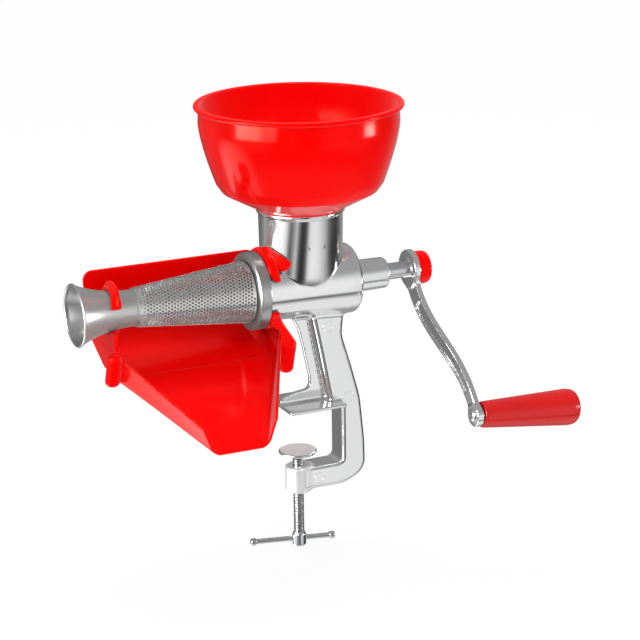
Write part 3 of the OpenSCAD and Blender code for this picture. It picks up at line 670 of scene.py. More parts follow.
def bowl_wall(inset, first, last, count=16):
    """Points up the side of the bowl; t runs from the knee at 1 to the upright part at 0."""
    return smooth_run([(BOWL_R - inset - KNEE_IN * t ** SIDE_POWER, UPRIGHT_H - SIDE_H * t)
                       for t in np.linspace(first, last, count)])


def bead(middle, radius, first, last, step):
    """Points round a rolled edge, between two angles in degrees."""
    return smooth_run([(middle[0] + radius * math.cos(a), middle[1] + radius * math.sin(a))
                       for a in np.radians(np.arange(first, last, step))])


hopper_outline = (
    [(24.5, -SPIGOT_L, 0.5), (26.9, -SPIGOT_L, 0.5), (26.9, 0, 0.2), (32.0, 0, 0.3),
     (32.4, 1.0, 0.4), (56.5, 13.8, 4.0)]
    + bowl_wall(0, 0.99, 0) + [(71.55, 73.0, 0.5)]
    + bead(BEAD_AT, BEAD_R, -130, 91, 14)
    + [(72.0, 76.5, 0.5), (69.6, 76.3, 1.6)]
    + bowl_wall(BOWL_WALL, 0, 0.93)
    + [(55.6, 16.3, 5.0), (27.6, 1.9, 2.5), (24.5, 0.2, 1.5)]
)
turned("hopper_bowl", hopper_outline, red_gloss, "hopper", "red_plastic", "hopper",
       turn=UPRIGHT, centre=(neck_x, 0, neck_top), parts=192)

# %% [markdown]
# ## Cast and moulded shapes from distances
#
# The body is an aluminium casting and the trough a plastic moulding. Both have
# walls of one thickness, and every inside corner is filleted. Booleans and a
# bevel modifier struggle with such fillets. Here each shape is a function that
# gives the distance to its surface, negative inside. Shapes are joined by a
# smooth minimum, whose blend is the fillet, and a net of quads is laid where the
# distance is zero.


# %% Distances
def soft_min(a, b, fillet):
    """The nearer of two shapes, joined by a fillet."""
    share = np.clip(0.5 + 0.5 * (b - a) / fillet, 0, 1)
    return b * (1 - share) + a * share - fillet * share * (1 - share)


def soft_max(a, b, fillet):
    return -soft_min(-a, -b, fillet)


def round_max(a, b, radius):
    """Where both shapes are, with the edge between them rounded."""
    return (np.minimum(np.maximum(a, b) + radius, 0) - radius
            + np.hypot(np.maximum(a + radius, 0), np.maximum(b + radius, 0)))


def slice_of(shape, v, middle, half, edge):
    """The slice of a shape from middle - half to middle + half along v, with rounded edges."""
    return round_max(shape, np.abs(v - middle) - half, edge)


def polygon_distance(x, y, corners):
    """Signed distance to a closed polygon."""
    nearest = np.full(np.shape(x), 1e12)
    inside = np.zeros(np.shape(x), bool)
    for (ax, ay), (bx, by) in zip(corners, np.roll(corners, -1, axis=0)):
        ex, ey = bx - ax, by - ay
        wx, wy = x - ax, y - ay
        along = np.clip((wx * ex + wy * ey) / (ex * ex + ey * ey + 1e-12), 0, 1)
        nearest = np.minimum(nearest, (wx - ex * along) ** 2 + (wy - ey * along) ** 2)
        if ey:
            inside ^= ((ay > y) != (by > y)) & (wx < ex * wy / ey)
    return np.where(inside, -1, 1) * np.sqrt(nearest)


def filleted(corners):
    """The points alone of an outline with fillets."""
    return rounded(corners)[0]


print("with a fillet of 2, a corner between two walls fills up by", -soft_min(0.0, 0.0, 2.0))

# %% A net over the surface
BLOCK = 8                # cells along one side of the blocks that are looked at together


def surface_net(distance, low, high, step):
    """Points, quads and corner normals of the surface where distance is zero."""
    # Only the blocks that the surface may cross are looked at
    low = np.asarray(low, float)
    size = step * BLOCK
    count = np.ceil((np.asarray(high) - low) / size).astype(int)
    blocks = np.stack(np.meshgrid(*map(np.arange, count), indexing="ij"), -1).reshape(-1, 3)
    middle = low + (blocks + 0.5) * size
    blocks = blocks[np.abs(distance(*middle.T)) < size * 0.95]
    steps = np.arange(BLOCK + 1)
    local = np.stack(np.meshgrid(steps, steps, steps, indexing="ij"), -1)
    corner = blocks[:, None, None, None, :] * BLOCK + local
    field = distance(*np.moveaxis(low + corner * step, -1, 0)) < 0

    # A cell is crossed where its eight corners aren't all on one side; it gets a point
    cells = [slice(0, BLOCK), slice(1, BLOCK + 1)]
    total = np.zeros(field.shape[:1] + (BLOCK,) * 3, int)
    for a in cells:
        for b in cells:
            for c in cells:
                total += field[:, a, b, c]
    width = count * BLOCK + 1
    weight = np.array([width[1] * width[2], width[2], 1])
    mixed = (total > 0) & (total < 8)
    cell = corner[:, :BLOCK, :BLOCK, :BLOCK][mixed]
    ids = cell @ weight
    order = np.argsort(ids)
    ids, cell = ids[order], cell[order]
    points = low + (cell + 0.5) * step

    # Where a grid edge leaves or enters the shape, the four cells round it share a quad
    quads = []
    start = corner[:, :BLOCK, :BLOCK, :BLOCK]
    here = field[:, :BLOCK, :BLOCK, :BLOCK]
    for axis in range(3):
        a, b = np.eye(3, dtype=int)[[(axis + 1) % 3, (axis + 2) % 3]]
        window = [slice(0, BLOCK)] * 3
        window[axis] = slice(1, BLOCK + 1)
        there = field[(slice(None), *window)]
        for leaving in (True, False):
            edge = start[here & ~there if leaving else ~here & there]
            around = np.stack([edge, edge - a, edge - a - b, edge - b], 1) @ weight
            quads.append(around if leaving else around[:, ::-1])
    quads = np.concatenate(quads)
    found = np.searchsorted(ids, quads).clip(0, len(ids) - 1)
    whole = (ids[found] == quads).all(1)
    quads = found[whole]

    # The points are drawn onto the surface
    reach = step * 0.12
    for _ in range(5):
        value, slope = field_slope(distance, points, reach)
        move = value[:, None] * slope / (slope ** 2).sum(1, keepdims=True).clip(0.2)
        points = points - np.clip(move, -step, step)
    slope = field_slope(distance, points, reach)[1]
    slope /= np.linalg.norm(slope, axis=1, keepdims=True).clip(1e-9)
    return points, quads.tolist(), slope[quads.ravel()]


def field_slope(distance, points, reach):
    """The distance at each point, and which way it grows."""
    slope = np.empty_like(points)
    for axis in range(3):
        step = np.eye(3)[axis] * reach
        slope[:, axis] = (distance(*(points + step).T) - distance(*(points - step).T)) / (2 * reach)
    return distance(*points.T), slope


print("distance helpers ready")

# %% [markdown]
# ## Body casting
#
# Neck, barrel, shaft boss, column, jaw and lower arm come out of one die and are
# polished. The neck and the barrel meet in a crisp V: going down, the neck's round
# section is squeezed front to back until it is as deep as the barrel, so its sides
# cut the barrel while its front runs into it. The column grows out of the barrel
# with soft fillets, and a thin web braces the upper jaw.

# %% Outlines of the casting, in millimetres
COLUMN_T, WEB_T = 22.0, 3.8
JAW_T, JAW_HALF = 2.5, 22.0
JAW_LEFT, JAW_RIGHT = -14.5, 30.5
C_FACE, ARM_TOP, ARM_BOTTOM = 32.1, -47.5, -64.0
NUT_R, NUT_MID, NUT_HALF = 9.7, -57.2, 9.8
BORE_R, BORE_MID, BORE_HALF = 21.0, -10.0, 40.5
THROAT_R, NECK_BORE_R = 19.0, 27.4
FUNNEL_BASE, FUNNEL_H = 14.0, 19.0     # the throat widens to the neck's bore over this height
SHAFT_HOLE_R, SHAFT_HOLE_U = 8.3, 25.0
SCREW_HOLE_R, SCREW_HOLE_TOP = 4.25, -40.0

neck_outline = filleted(
    [(-5, 0, 0), (30.65, 0, 0), (30.65, 54.6, 0.8), (31.9, 55.5, 0.4), (31.9, 57.6, 0.5),
     (-5, 57.6, 0)])
MOUTH_U, BARREL_END_U = -37.0, 30.0
MOUTH_R, BARREL_SWELL, SWELL_POWER = 23.2, 2.55, 1.45
barrel_run = [(u, MOUTH_R + BARREL_SWELL * ((u - MOUTH_U) / (BARREL_END_U - MOUTH_U)) ** SWELL_POWER)
              for u in np.linspace(MOUTH_U, BARREL_END_U, 12)]
barrel_outline = filleted(
    [(-42, -5, 0), (-42, 26.6, 0.4), (-37, 26.6, 0.4)] + smooth_run(barrel_run)
    + [(38.5, 25.75, 3.0), (38.5, 11.9, 1.2), (66.7, 11.4, 1.8), (66.7, -5, 0)])
column_outline = filleted([
    (8.2, 74, 0), (14.5, 43.2, 30), (21.3, 7.5, 6), (22.8, 0, 0), (C_FACE, 0, 5),
    (C_FACE, ARM_TOP, 4.5), (0, ARM_TOP, 0), (0, ARM_BOTTOM, 0), (34, ARM_BOTTOM - 0.4, 24),
    (51.2, -56, 16), (50.4, -30, 40), (47.2, 2, 60), (40.0, 28.5, 50), (32.8, 52, 16), (35, 74, 0)])
web_outline = filleted([
    (-3.5, 70, 0), (-2.2, 65.6, 2), (1.9, 57.4, 12), (5.6, 41.5, 40), (9.6, 22, 20), (10.2, 11.6, 6),
    (-1, 10.4, 10), (-12.6, 7.4, 6), (-14.3, 2.5, 1), (-14.3, 1.2, 0), (26, 1.2, 0), (26, 70, 0)])
print("casting outlines:", [len(o) for o in (neck_outline, barrel_outline, column_outline, web_outline)])


# %% The casting as a distance
def rounded_rectangle(x, y, low, high, corner):
    """Distance to a rectangle in the plane, with round corners."""
    dx = np.abs(x - (low[0] + high[0]) / 2) - (high[0] - low[0]) / 2 + corner
    dy = np.abs(y - (low[1] + high[1]) / 2) - (high[1] - low[1]) / 2 + corner
    return np.minimum(np.maximum(dx, dy), 0) + np.hypot(np.maximum(dx, 0), np.maximum(dy, 0)) - corner


NECK_SQUEEZE, NECK_H = 0.207, 57.0     # share of its depth that the neck loses, over its height
FOOT_SQUEEZE, FOOT_H = 0.022, 12.0     # and a little more right at its foot


def neck_depth(w):
    """Share of its round depth that the neck has at a height above the barrel's axis."""
    neck, foot = np.clip(1 - w / NECK_H, 0, 1), np.clip(1 - w / FOOT_H, 0, 1)
    return 1 - NECK_SQUEEZE * neck - FOOT_SQUEEZE * foot ** 2


def casting_distance(x, y, z):
    u, w = x - neck_x, z - axis_z
    about_neck, about_barrel, about_screw = np.hypot(u, y), np.hypot(y, w), np.hypot(x, y)
    tubes = soft_min(polygon_distance(np.hypot(u, y / neck_depth(w)), w, neck_outline),
                     polygon_distance(u, about_barrel, barrel_outline), 0.9)
    column = slice_of(polygon_distance(x, z, column_outline), y, 0, COLUMN_T / 2, 3.0)
    web = slice_of(polygon_distance(x, z, web_outline), y, 0, WEB_T / 2, 0.9)
    plate = rounded_rectangle(x, y, (JAW_LEFT, -JAW_HALF), (JAW_RIGHT, JAW_HALF), 1.2)
    jaw = slice_of(plate, z, JAW_T / 2, JAW_T / 2, 0.7)
    nut = slice_of(about_screw - NUT_R, z, NUT_MID, NUT_HALF, 1.2)
    clamp = soft_min(column, nut, 4.0)
    clamp = soft_min(clamp, soft_min(web, jaw, 2.4), 1.6)
    body = soft_min(tubes, clamp, 3.4)

    bore = slice_of(about_barrel - BORE_R, u, BORE_MID, BORE_HALF, 1.5)
    funnel = np.clip((w - FUNNEL_BASE) / FUNNEL_H, 0, 1)
    throat = np.maximum(about_neck - THROAT_R - (NECK_BORE_R - THROAT_R) * funnel, -w)
    shaft_hole = np.maximum(about_barrel - SHAFT_HOLE_R, SHAFT_HOLE_U - u)
    screw_hole = np.maximum(about_screw - SCREW_HOLE_R, z - SCREW_HOLE_TOP)
    hollow = np.minimum(np.minimum(bore, throat), np.minimum(shaft_hole, screw_hole))
    return soft_max(body, -hollow, 0.6)


CASTING_GRID = 0.92


def on_nut_boss(x, y, z):
    """Whether a point lies on the nut's boss or on its fillet; it isn't polished there."""
    return z < ARM_TOP + 1.5 and math.hypot(x, y) < NUT_R + 1.6


casting_mesh = new_mesh("body_casting", *surface_net(
    casting_distance, (-41, -34, -71), (77, 34, 152), CASTING_GRID))
casting = piece("casting", casting_mesh, polished_casting, "frame", "cast_aluminium", "body_casting")
refinish(casting, as_cast, on_nut_boss)

# %% Round marks that the die's ejector pins left on the casting's front
TOWARDS_FRONT = np.array([[1, 0, 0], [0, 0, -1], [0, 1, 0]], float)
MARKS = ((21.2, 60.0), (36.7, 3.5), (12.2, -56.0))     # where on the front face, x and z
ring = [(3.7, -0.6, 0), (4.25, -0.6, 0), (4.25, 0.16, 0.15), (3.7, 0.16, 0.15)]     # a low ridge
rings = [revolved_mesh("mark", ring, turn=TOWARDS_FRONT, centre=(x, -COLUMN_T / 2, z), parts=40)
         for x, z in MARKS]
piece("ejector_marks", joined("ejector_marks", rings), polished_casting, "frame", "cast_aluminium")

# %% [markdown]
# ## Drip trough
#
# The trough is moulded in one piece with the splash wall behind the strainer, a
# floor that slopes down to a narrow lip, two clips and two posts. It narrows
# towards the lip, so a box won't do. Its section is a tub whose width and depth
# are read off along the way, and the wall is that tub less a smaller one.

# %% The trough's sizes along its length
TROUGH_U, TROUGH_WALL = -86.0, 2.2
SPLASH_Y, SPLASH_TOP, SPLASH_LOW, SPLASH_HALF = 40.0, 19.0, -28.5, 67.0
SPLASH_LEAN = 0.055
KINK_Y, LIP_Y = -8.0, -84.0
CORNER_R = 5.0
# Half widths and heights of its section: at the lip, at the kink and at the back
STATIONS = np.array([LIP_Y, KINK_Y, SPLASH_Y + TROUGH_WALL])
HALF_TOP = np.array([26.8, 64.5, 64.5])
HALF_FLOOR = np.array([19.5, 62.5, 62.5])
FLOOR_DEPTH = np.array([-88.0, -50.0, -28.5])
RIM_DEPTH = np.array([-67.6, -27.5, -24.6])
RIGHT_SIDE_OUT = 2.0     # the right-hand wall stands this much further out than the left


def along_trough(y, values):
    """A size of the trough at a distance y, carried on past the lip."""
    slope_front = (values[1] - values[0]) / (KINK_Y - LIP_Y)
    return np.where(y < LIP_Y, values[0] + slope_front * (y - LIP_Y), np.interp(y, STATIONS, values))


def floor_depth(y):
    """Height of the floor's underside; its bend at the kink is a wide one."""
    front, back = np.diff(FLOOR_DEPTH) / np.diff(STATIONS)
    return FLOOR_DEPTH[1] + soft_min((y - KINK_Y) * front, (y - KINK_Y) * back, 3.0)


print("floor at the kink:", round(float(floor_depth(KINK_Y)), 2), "mm from the barrel's axis")

# %% The tub of the trough
FRONT_SHARE, FLOOR_SHARE = 0.88, (0.87, 0.95)     # what a slope makes of an upright distance


def tub_distance(u, y, w, inset):
    """Distance to the solid tub, made smaller by inset."""
    floor, rim = floor_depth(y), along_trough(y, RIM_DEPTH)
    top, low = along_trough(y, HALF_TOP), along_trough(y, HALF_FLOOR)
    lean = (top - low) / (rim - floor)
    out = np.where(u > TROUGH_U, RIGHT_SIDE_OUT, 0.0)
    side = np.abs(u - TROUGH_U) - out - (low + lean * (w - floor)) + inset
    side = side * np.where(y < KINK_Y, FRONT_SHARE, 1.0)
    under = (floor - w) * np.where(y < KINK_Y, *FLOOR_SHARE) + inset
    return round_max(side, under, CORNER_R - inset)


print("inside the tub, 10 mm over its floor:",
      round(float(tub_distance(TROUGH_U, 0.0, floor_depth(0.0) + 10, 0.0)), 2))


# %% A band bent round the barrel's axis
def arc_band(y, w, inner, outer, first, last, tip=1.0):
    """Distance to a band round the barrel's axis between two angles from +Y to +Z.

    outer may be a number or a list of (angle, radius) pairs.
    """
    angle = np.degrees(np.arctan2(w, y))
    angle = np.where(angle < first - (360 - last + first) / 2, angle + 360, angle)
    radius = np.hypot(y, w)
    if isinstance(outer, list):
        outer = np.interp(angle, *zip(*outer))
    past = np.maximum(first - angle, angle - last)
    ends = np.radians(past) * np.minimum(radius, 30)
    return round_max(round_max(inner - radius, radius - outer, 0.8), ends, tip)


print("a band of 10 to 12 mm, seen from its middle:", float(arc_band(11.0, 0.0, 10, 12, -90, 90)))


# %% The left clip, round the waste spout
OVER_SPOUT = 14.7        # radius of the clip's inner face
STRAP_RIGHT = -144.0     # where the strap's right edge is


def left_clip(u, y, w):
    """A strap that widens to its tip, with a rib on its right edge, on a plate."""
    angle = np.degrees(np.arctan2(w, y))
    edge = np.interp(angle, [60, 120, 160], [-148.6, -149.4, -151.6])
    strap = arc_band(y, w, OVER_SPOUT, [(-128, 17.2), (-90, 17.8), (163, 17.4)], -128, 163, 1.2)
    left = slice_of(strap, u, (edge + STRAP_RIGHT) / 2, (STRAP_RIGHT - edge) / 2, 1.0)
    rib_height = [(-20, 17.8), (30, 19.6), (85, 21.2), (120, 20.6), (158, 18.2)]
    rib = arc_band(y, w, 16.4, rib_height, -20, 158)
    left = soft_min(left, slice_of(rib, u, -145.4, 1.4, 1.0), 1.2)

    # The plate is cut along the floor's slope, and it stays clear of the spout
    plate = np.minimum(rounded_rectangle(y, w, (2, -44), (SPLASH_Y + 1, 5), 3),
                       rounded_rectangle(y, w, (-15.5, -40), (8, -13), 3))
    plate = np.maximum(plate, 16.0 - np.hypot(y, w))
    plate = np.maximum(plate, ((y - 4.7) * 0.52 - 46.4 - w) * 0.887)
    return soft_min(left, slice_of(plate, u, -148.6, 1.6, 0.8), 1.0)


print("left clip ready, round a tube of", OVER_SPOUT, "mm radius")

# %% The right clip, over the barrel between collar and neck
WING = filleted([(-1, 28, 1), (-4.5, 32.6, 2), (-8, 34.2, 4), (-12.2, 33.4, 6), (-19.6, 28.9, 8),
                 (-22.6, 25.2, 2), (-23.2, 22.6, 1.5), (-21.8, 18.6, 1), (-19.4, 16.8, 1),
                 (-12.5, 21.8, 3), (-1, 26, 1)])
STRUT = filleted([(-33.5, -13.5, 1), (-29.0, -12.3, 1.5), (-25.8, -15.7, 8), (-23.6, -21.3, 8),
                  (-18.3, -29.5, 8), (-13.8, -36.4, 3), (-14.6, -44, 2), (-24, -48, 1), (-26, -27, 2),
                  (-33.5, -22, 1)])
OVER_BARREL = 23.9       # radius of the clip's inner face
NECK_ROOM = 31.6         # nothing of the clip comes nearer to the neck's axis than this,
NECK_FROM = 8.0          # from this height on


def right_clip(u, y, w):
    """A horn, a wing along the neck, a plate, a lower jaw and the strut that carries it."""
    # The horn's place along the barrel, its radius, its half width and its half thickness
    angle, radius = np.degrees(np.arctan2(w, y)), np.hypot(y, w)
    centre = np.interp(angle, [60, 120, 138, 148, 154], [-31.2, -31.0, -30.6, -29.6, -28.0])
    middle = np.interp(angle, [40, 95, 130, 152], [27.0, 28.2, 27.2, 25.2])
    across = np.interp(angle, [60, 120, 138, 148, 156], [3.7, 3.7, 4.0, 3.3, 1.6])
    thick = np.interp(angle, [40, 95, 130, 156], [2.4, 3.4, 3.0, 1.2])
    shape = np.hypot((u - centre) / across, (radius - middle) / thick)
    horn = np.maximum((shape - 1) * np.minimum(across, thick),
                      np.maximum(OVER_BARREL - radius, -34.9 - u))
    ends = np.radians(np.maximum(5 - angle, angle - 155)) * 24
    right = round_max(horn, np.where(np.abs(angle) > 170, 30.0, ends), 0.8)

    # The wing lies along the neck
    around_neck = np.hypot(u, y / neck_depth(w))
    wing = np.maximum(polygon_distance(y, w, WING), OVER_BARREL - radius)
    wing = slice_of(wing, around_neck, 32.7, 1.1, 0.7)
    right = soft_min(right, np.maximum(wing, u + 18.2), 0.5)

    # The plate behind, down to the floor
    back = rounded_rectangle(y, w, (4, -40), (SPLASH_Y + 1, 15), 3)
    back = np.maximum(back, 24.4 - radius)
    right = soft_min(right, slice_of(back, u, -33, 1.3, 0.6), 1.0)

    # The lower jaw, and the strut between it and the post
    jaw = arc_band(y, w, OVER_BARREL, [(-152, 26.0), (-110, 28.4), (-60, 28.4)], -152, -50, 1.0)
    right = soft_min(right, slice_of(jaw, u, -30.5, 3.4, 0.9), 1.2)
    strut = slice_of(polygon_distance(u, w, STRUT), y, -18.4, 1.7, 0.9)
    right = soft_min(right, np.maximum(strut, OVER_BARREL - radius), 1.2)
    return np.where(w >= NECK_FROM, np.maximum(right, NECK_ROOM - around_neck), right)


print("right clip ready:", len(WING), "and", len(STRUT), "points in its wing and strut")

# %% Posts, and the whole trough
POST_TURN = math.radians(10)
LEFT_POST, RIGHT_POST = (-151.0, -13.5, -39.0), (-19.4, -16.0, -47.5)
TROUGH_GRID = 0.9


def post_distance(u, y, w, middle, radius=5.4, half=12.3, lean=0.07):
    """A round post with a domed foot, whose top leans towards the lip."""
    du, dy, dw = u - middle[0], y - middle[1], w - middle[2]
    sine, cosine = math.sin(POST_TURN), math.cos(POST_TURN)
    across = np.hypot(du - lean * dw, dy * cosine + dw * sine) - radius
    return round_max(across, np.abs(dw * cosine - dy * sine) - half, 3.5)


def trough_distance(x, y, z):
    u, w = x - neck_x, z - axis_z
    shell = np.maximum(tub_distance(u, y, w, 0.0), -tub_distance(u, y, w, TROUGH_WALL))
    rim = (w - along_trough(y, RIM_DEPTH)) * np.where(y < KINK_Y, FRONT_SHARE, 1.0)
    ends = np.maximum(y - SPLASH_Y - TROUGH_WALL, LIP_Y - y)
    shell = round_max(shell, np.maximum(rim, ends), 0.7)
    inwards = (SPLASH_TOP - w) * SPLASH_LEAN
    behind = rounded_rectangle(np.abs(u - TROUGH_U) + inwards, w, (-SPLASH_HALF, SPLASH_LOW),
                               (SPLASH_HALF, SPLASH_TOP), 7.5)
    behind = slice_of(behind, y, SPLASH_Y + TROUGH_WALL / 2, TROUGH_WALL / 2, 0.7)
    body = soft_min(shell, behind, 3.0)
    posts = np.minimum(post_distance(u, y, w, LEFT_POST), post_distance(u, y, w, RIGHT_POST))
    posts = np.maximum(posts, -tub_distance(u, y, w, 0.6))
    clips = np.minimum(left_clip(u, y, w), right_clip(u, y, w))
    return soft_min(soft_min(body, posts, 1.6), clips, 1.0)


trough_mesh = new_mesh("drip_trough", *surface_net(
    trough_distance, (-153, -86, -4), (-6, 45, 126), TROUGH_GRID))
piece("trough", trough_mesh, red_gloss, "trough", "red_plastic", "drip_trough")

# %% [markdown]
# ## Strainer cone
#
# The strainer is thin sheet with some 1700 small holes, rolled into a
# cone and welded. The holes are punched in the flat sheet, in staggered rows, so
# on the cone the rows bend. Geometry Nodes repeat the steps of the real thing: a
# small tile with a hole, a staggered field of tiles, and then the roll.

# %% Sizes of the cone
CONE_BIG_R, CONE_SMALL_R = 22.5, 13.9
CONE_BIG_U, CONE_SMALL_U = -45.0, -130.0
CONE_WALL = 0.9
PITCH, HOLE_D = 2.5, 1.6
ROWS, COLUMNS = 50, 64
BEFORE_SHEET = 12.0      # the field of tiles starts this far short of the sheet
PLAIN_EDGE = 1.5         # no hole lies nearer to the sheet's edge
CONE_FACING = 220.0      # degrees from +Y to +Z where the flat sheet's middle line lies
lean = math.atan((CONE_BIG_R - CONE_SMALL_R) / (CONE_BIG_U - CONE_SMALL_U))
apex_u = CONE_BIG_U - CONE_BIG_R / math.tan(lean)
sheet_near, sheet_far = (r / math.sin(lean) for r in (CONE_SMALL_R, CONE_BIG_R))
half_sheet = math.pi * math.sin(lean)
print("flat sheet from", round(sheet_near, 1), "to", round(sheet_far, 1), "mm from its apex")


# %% Two tiles: one with a hole, one plain
def tile(name, holed):
    """A hexagon of the pattern's pitch, in millimetres; a ring of quads if it has a hole."""
    side, corner = PITCH / 2, PITCH / 2 / math.cos(math.radians(30))
    hole_r = HOLE_D / 2 / math.cos(math.radians(15))
    directions = [(math.cos(math.radians(30 * k)), math.sin(math.radians(30 * k))) for k in range(12)]
    points = [(r * c, r * s, 0) for (c, s), r in zip(directions, [corner, side] * 6)]
    if holed:
        points += [(hole_r * c, hole_r * s, 0) for c, s in directions]
        faces = [(k, (k + 1) % 12, 12 + (k + 1) % 12, 12 + k) for k in range(12)]
    else:
        points += [(0, 0, 0)]
        faces = [(k, k + 1, (k + 2) % 12, 12) for k in range(0, 12, 2)]
    mesh = bpy.data.meshes.new(name)
    mesh.from_pydata(points, [], faces)
    item = bpy.data.objects.new(name, mesh)
    bpy.context.scene.collection.objects.link(item)
    return item


holed_tile, plain_tile = tile("tile_with_hole", True), tile("tile_plain", False)
print("tiles:", len(holed_tile.data.polygons), "and", len(plain_tile.data.polygons), "faces")


# %% Helpers for Geometry Nodes
def geometry_tree(name, inputs):
    """An empty Geometry Nodes tree with named inputs; returns it, its wiring and its ends."""
    tree = bpy.data.node_groups.new(name, "GeometryNodeTree")
    for socket, kind in inputs:
        tree.interface.new_socket(socket, in_out="INPUT", socket_type="NodeSocket" + kind)
    tree.interface.new_socket("Geometry", in_out="OUTPUT", socket_type="NodeSocketGeometry")
    w = Wiring(tree)
    return tree, w, w.add("NodeGroupInput").outputs, w.add("NodeGroupOutput")


def grown(name, tree, values):
    """The plain mesh that a tree makes from its named inputs."""
    holder = bpy.data.objects.new(name, bpy.data.meshes.new(name))
    bpy.context.scene.collection.objects.link(holder)
    modifier = holder.modifiers.new("grow", "NODES")
    modifier.node_group = tree
    for socket in tree.interface.items_tree:
        if socket.in_out == "INPUT":
            modifier[socket.identifier] = values[socket.name]
    bpy.context.view_layer.update()
    graph = bpy.context.evaluated_depsgraph_get()
    mesh = bpy.data.meshes.new_from_object(holder.evaluated_get(graph))
    mesh.name = name
    bpy.data.objects.remove(holder)
    return mesh


print("helpers for Geometry Nodes ready")

# %% The tree that punches and rolls the sheet
sheet_tree, w, given, result = geometry_tree("perforated_cone", [
    ("Tile With Hole", "Object"), ("Plain Tile", "Object"), ("Material", "Material"),
    ("Pitch", "Float"), ("Near", "Float"), ("Far", "Float"), ("Half Angle", "Float"),
    ("Margin", "Float"), ("Lean", "Float"), ("Facing", "Float"), ("Axis X", "Float"),
    ("Axis Z", "Float")])


def polar(w):
    """Distance from the apex and angle of the current position in the flat sheet."""
    at = w.add("GeometryNodeInputPosition").outputs[0]
    x, y, _ = w.add("ShaderNodeSeparateXYZ", (0, at)).outputs
    return w.length(x, y), w.math("ARCTAN2", y, x)


# A field of points in staggered rows
row_step = w.times(given["Pitch"], math.cos(math.radians(30)))
field = w.add("GeometryNodeMeshGrid", (2, ROWS), (3, COLUMNS)).outputs[0]
index = w.add("GeometryNodeInputIndex").outputs[0]
row = w.math("FLOOR", w.over(index, COLUMNS))
column = w.minus(index, w.times(row, COLUMNS))
shifted = w.plus(column, w.times(w.math("MODULO", row, 2.0), 0.5))
spot = w.add("ShaderNodeCombineXYZ",
             (0, w.plus(w.times(row, row_step), w.minus(given["Near"], BEFORE_SHEET))),
             (1, w.times(w.minus(shifted, (COLUMNS - 1) / 2), given["Pitch"]))).outputs[0]
field = w.add("GeometryNodeSetPosition", ("Geometry", field), ("Position", spot)).outputs[0]
points = w.add("GeometryNodeMeshToPoints", (0, field)).outputs[0]

# Those outside the flat sheet go; those near its edge get no hole
distance, angle = polar(w)
inward = w.math("MINIMUM", w.minus(distance, given["Near"]), w.minus(given["Far"], distance))
sideways = w.times(distance, w.minus(given["Half Angle"], w.math("ABSOLUTE", angle)))
inward = w.math("MINIMUM", inward, sideways)
outside = w.math("LESS_THAN", inward, w.times(given["Pitch"], -0.6))
points = w.add("GeometryNodeDeleteGeometry", ("Geometry", points), ("Selection", outside)).outputs[0]
has_hole = w.math("GREATER_THAN", inward, given["Margin"])
both = w.add("GeometryNodeJoinGeometry")
for socket, chosen in (("Tile With Hole", has_hole), ("Plain Tile", w.minus(1.0, has_hole))):
    info = w.add("GeometryNodeObjectInfo", ("Object", given[socket])).outputs["Geometry"]
    tiles = w.add("GeometryNodeInstanceOnPoints", ("Points", points), ("Selection", chosen),
                  ("Instance", info)).outputs[0]
    sheet_tree.links.new(tiles, both.inputs[0])
flat = w.add("GeometryNodeRealizeInstances", (0, both.outputs[0])).outputs[0]
flat = w.add("GeometryNodeMergeByDistance", ("Geometry", flat), ("Distance", 0.02)).outputs[0]

# The sheet is trimmed to its edges and rolled
distance, angle = polar(w)
distance = w.between(distance, given["Near"], given["Far"])
angle = w.between(angle, w.times(given["Half Angle"], -1.0), given["Half Angle"])
round_angle = w.plus(given["Facing"], w.over(angle, w.math("SINE", given["Lean"])))
across, upward = w.on_circle(w.times(distance, w.math("SINE", given["Lean"])), round_angle)
along = w.plus(given["Axis X"], w.times(distance, w.math("COSINE", given["Lean"])))
rolled = w.add("ShaderNodeCombineXYZ", (0, along), (1, across),
               (2, w.plus(given["Axis Z"], upward))).outputs[0]
cone = w.add("GeometryNodeSetPosition", ("Geometry", flat), ("Position", rolled)).outputs[0]
cone = w.add("GeometryNodeMergeByDistance", ("Geometry", cone), ("Distance", 0.03)).outputs[0]
cone = w.add("GeometryNodeRealizeInstances", (0, cone)).outputs[0]
cone = w.add("GeometryNodeSetMaterial", ("Geometry", cone), ("Material", given["Material"])).outputs[0]
w.put(result.inputs[0], cone)
print("the tree has", len(sheet_tree.nodes), "nodes")

# %% Roll the cone and give it its thickness
cone_mesh = grown("strainer_cone", sheet_tree, {
    "Tile With Hole": holed_tile, "Plain Tile": plain_tile, "Material": strainer_sheet,
    "Pitch": PITCH, "Near": sheet_near, "Far": sheet_far, "Half Angle": half_sheet,
    "Margin": PLAIN_EDGE, "Lean": lean, "Facing": math.radians(CONE_FACING),
    "Axis X": neck_x + apex_u, "Axis Z": float(axis_z)})
for used in (holed_tile, plain_tile):
    bpy.data.objects.remove(used)
print("cone sheet:", len(cone_mesh.polygons), "faces")


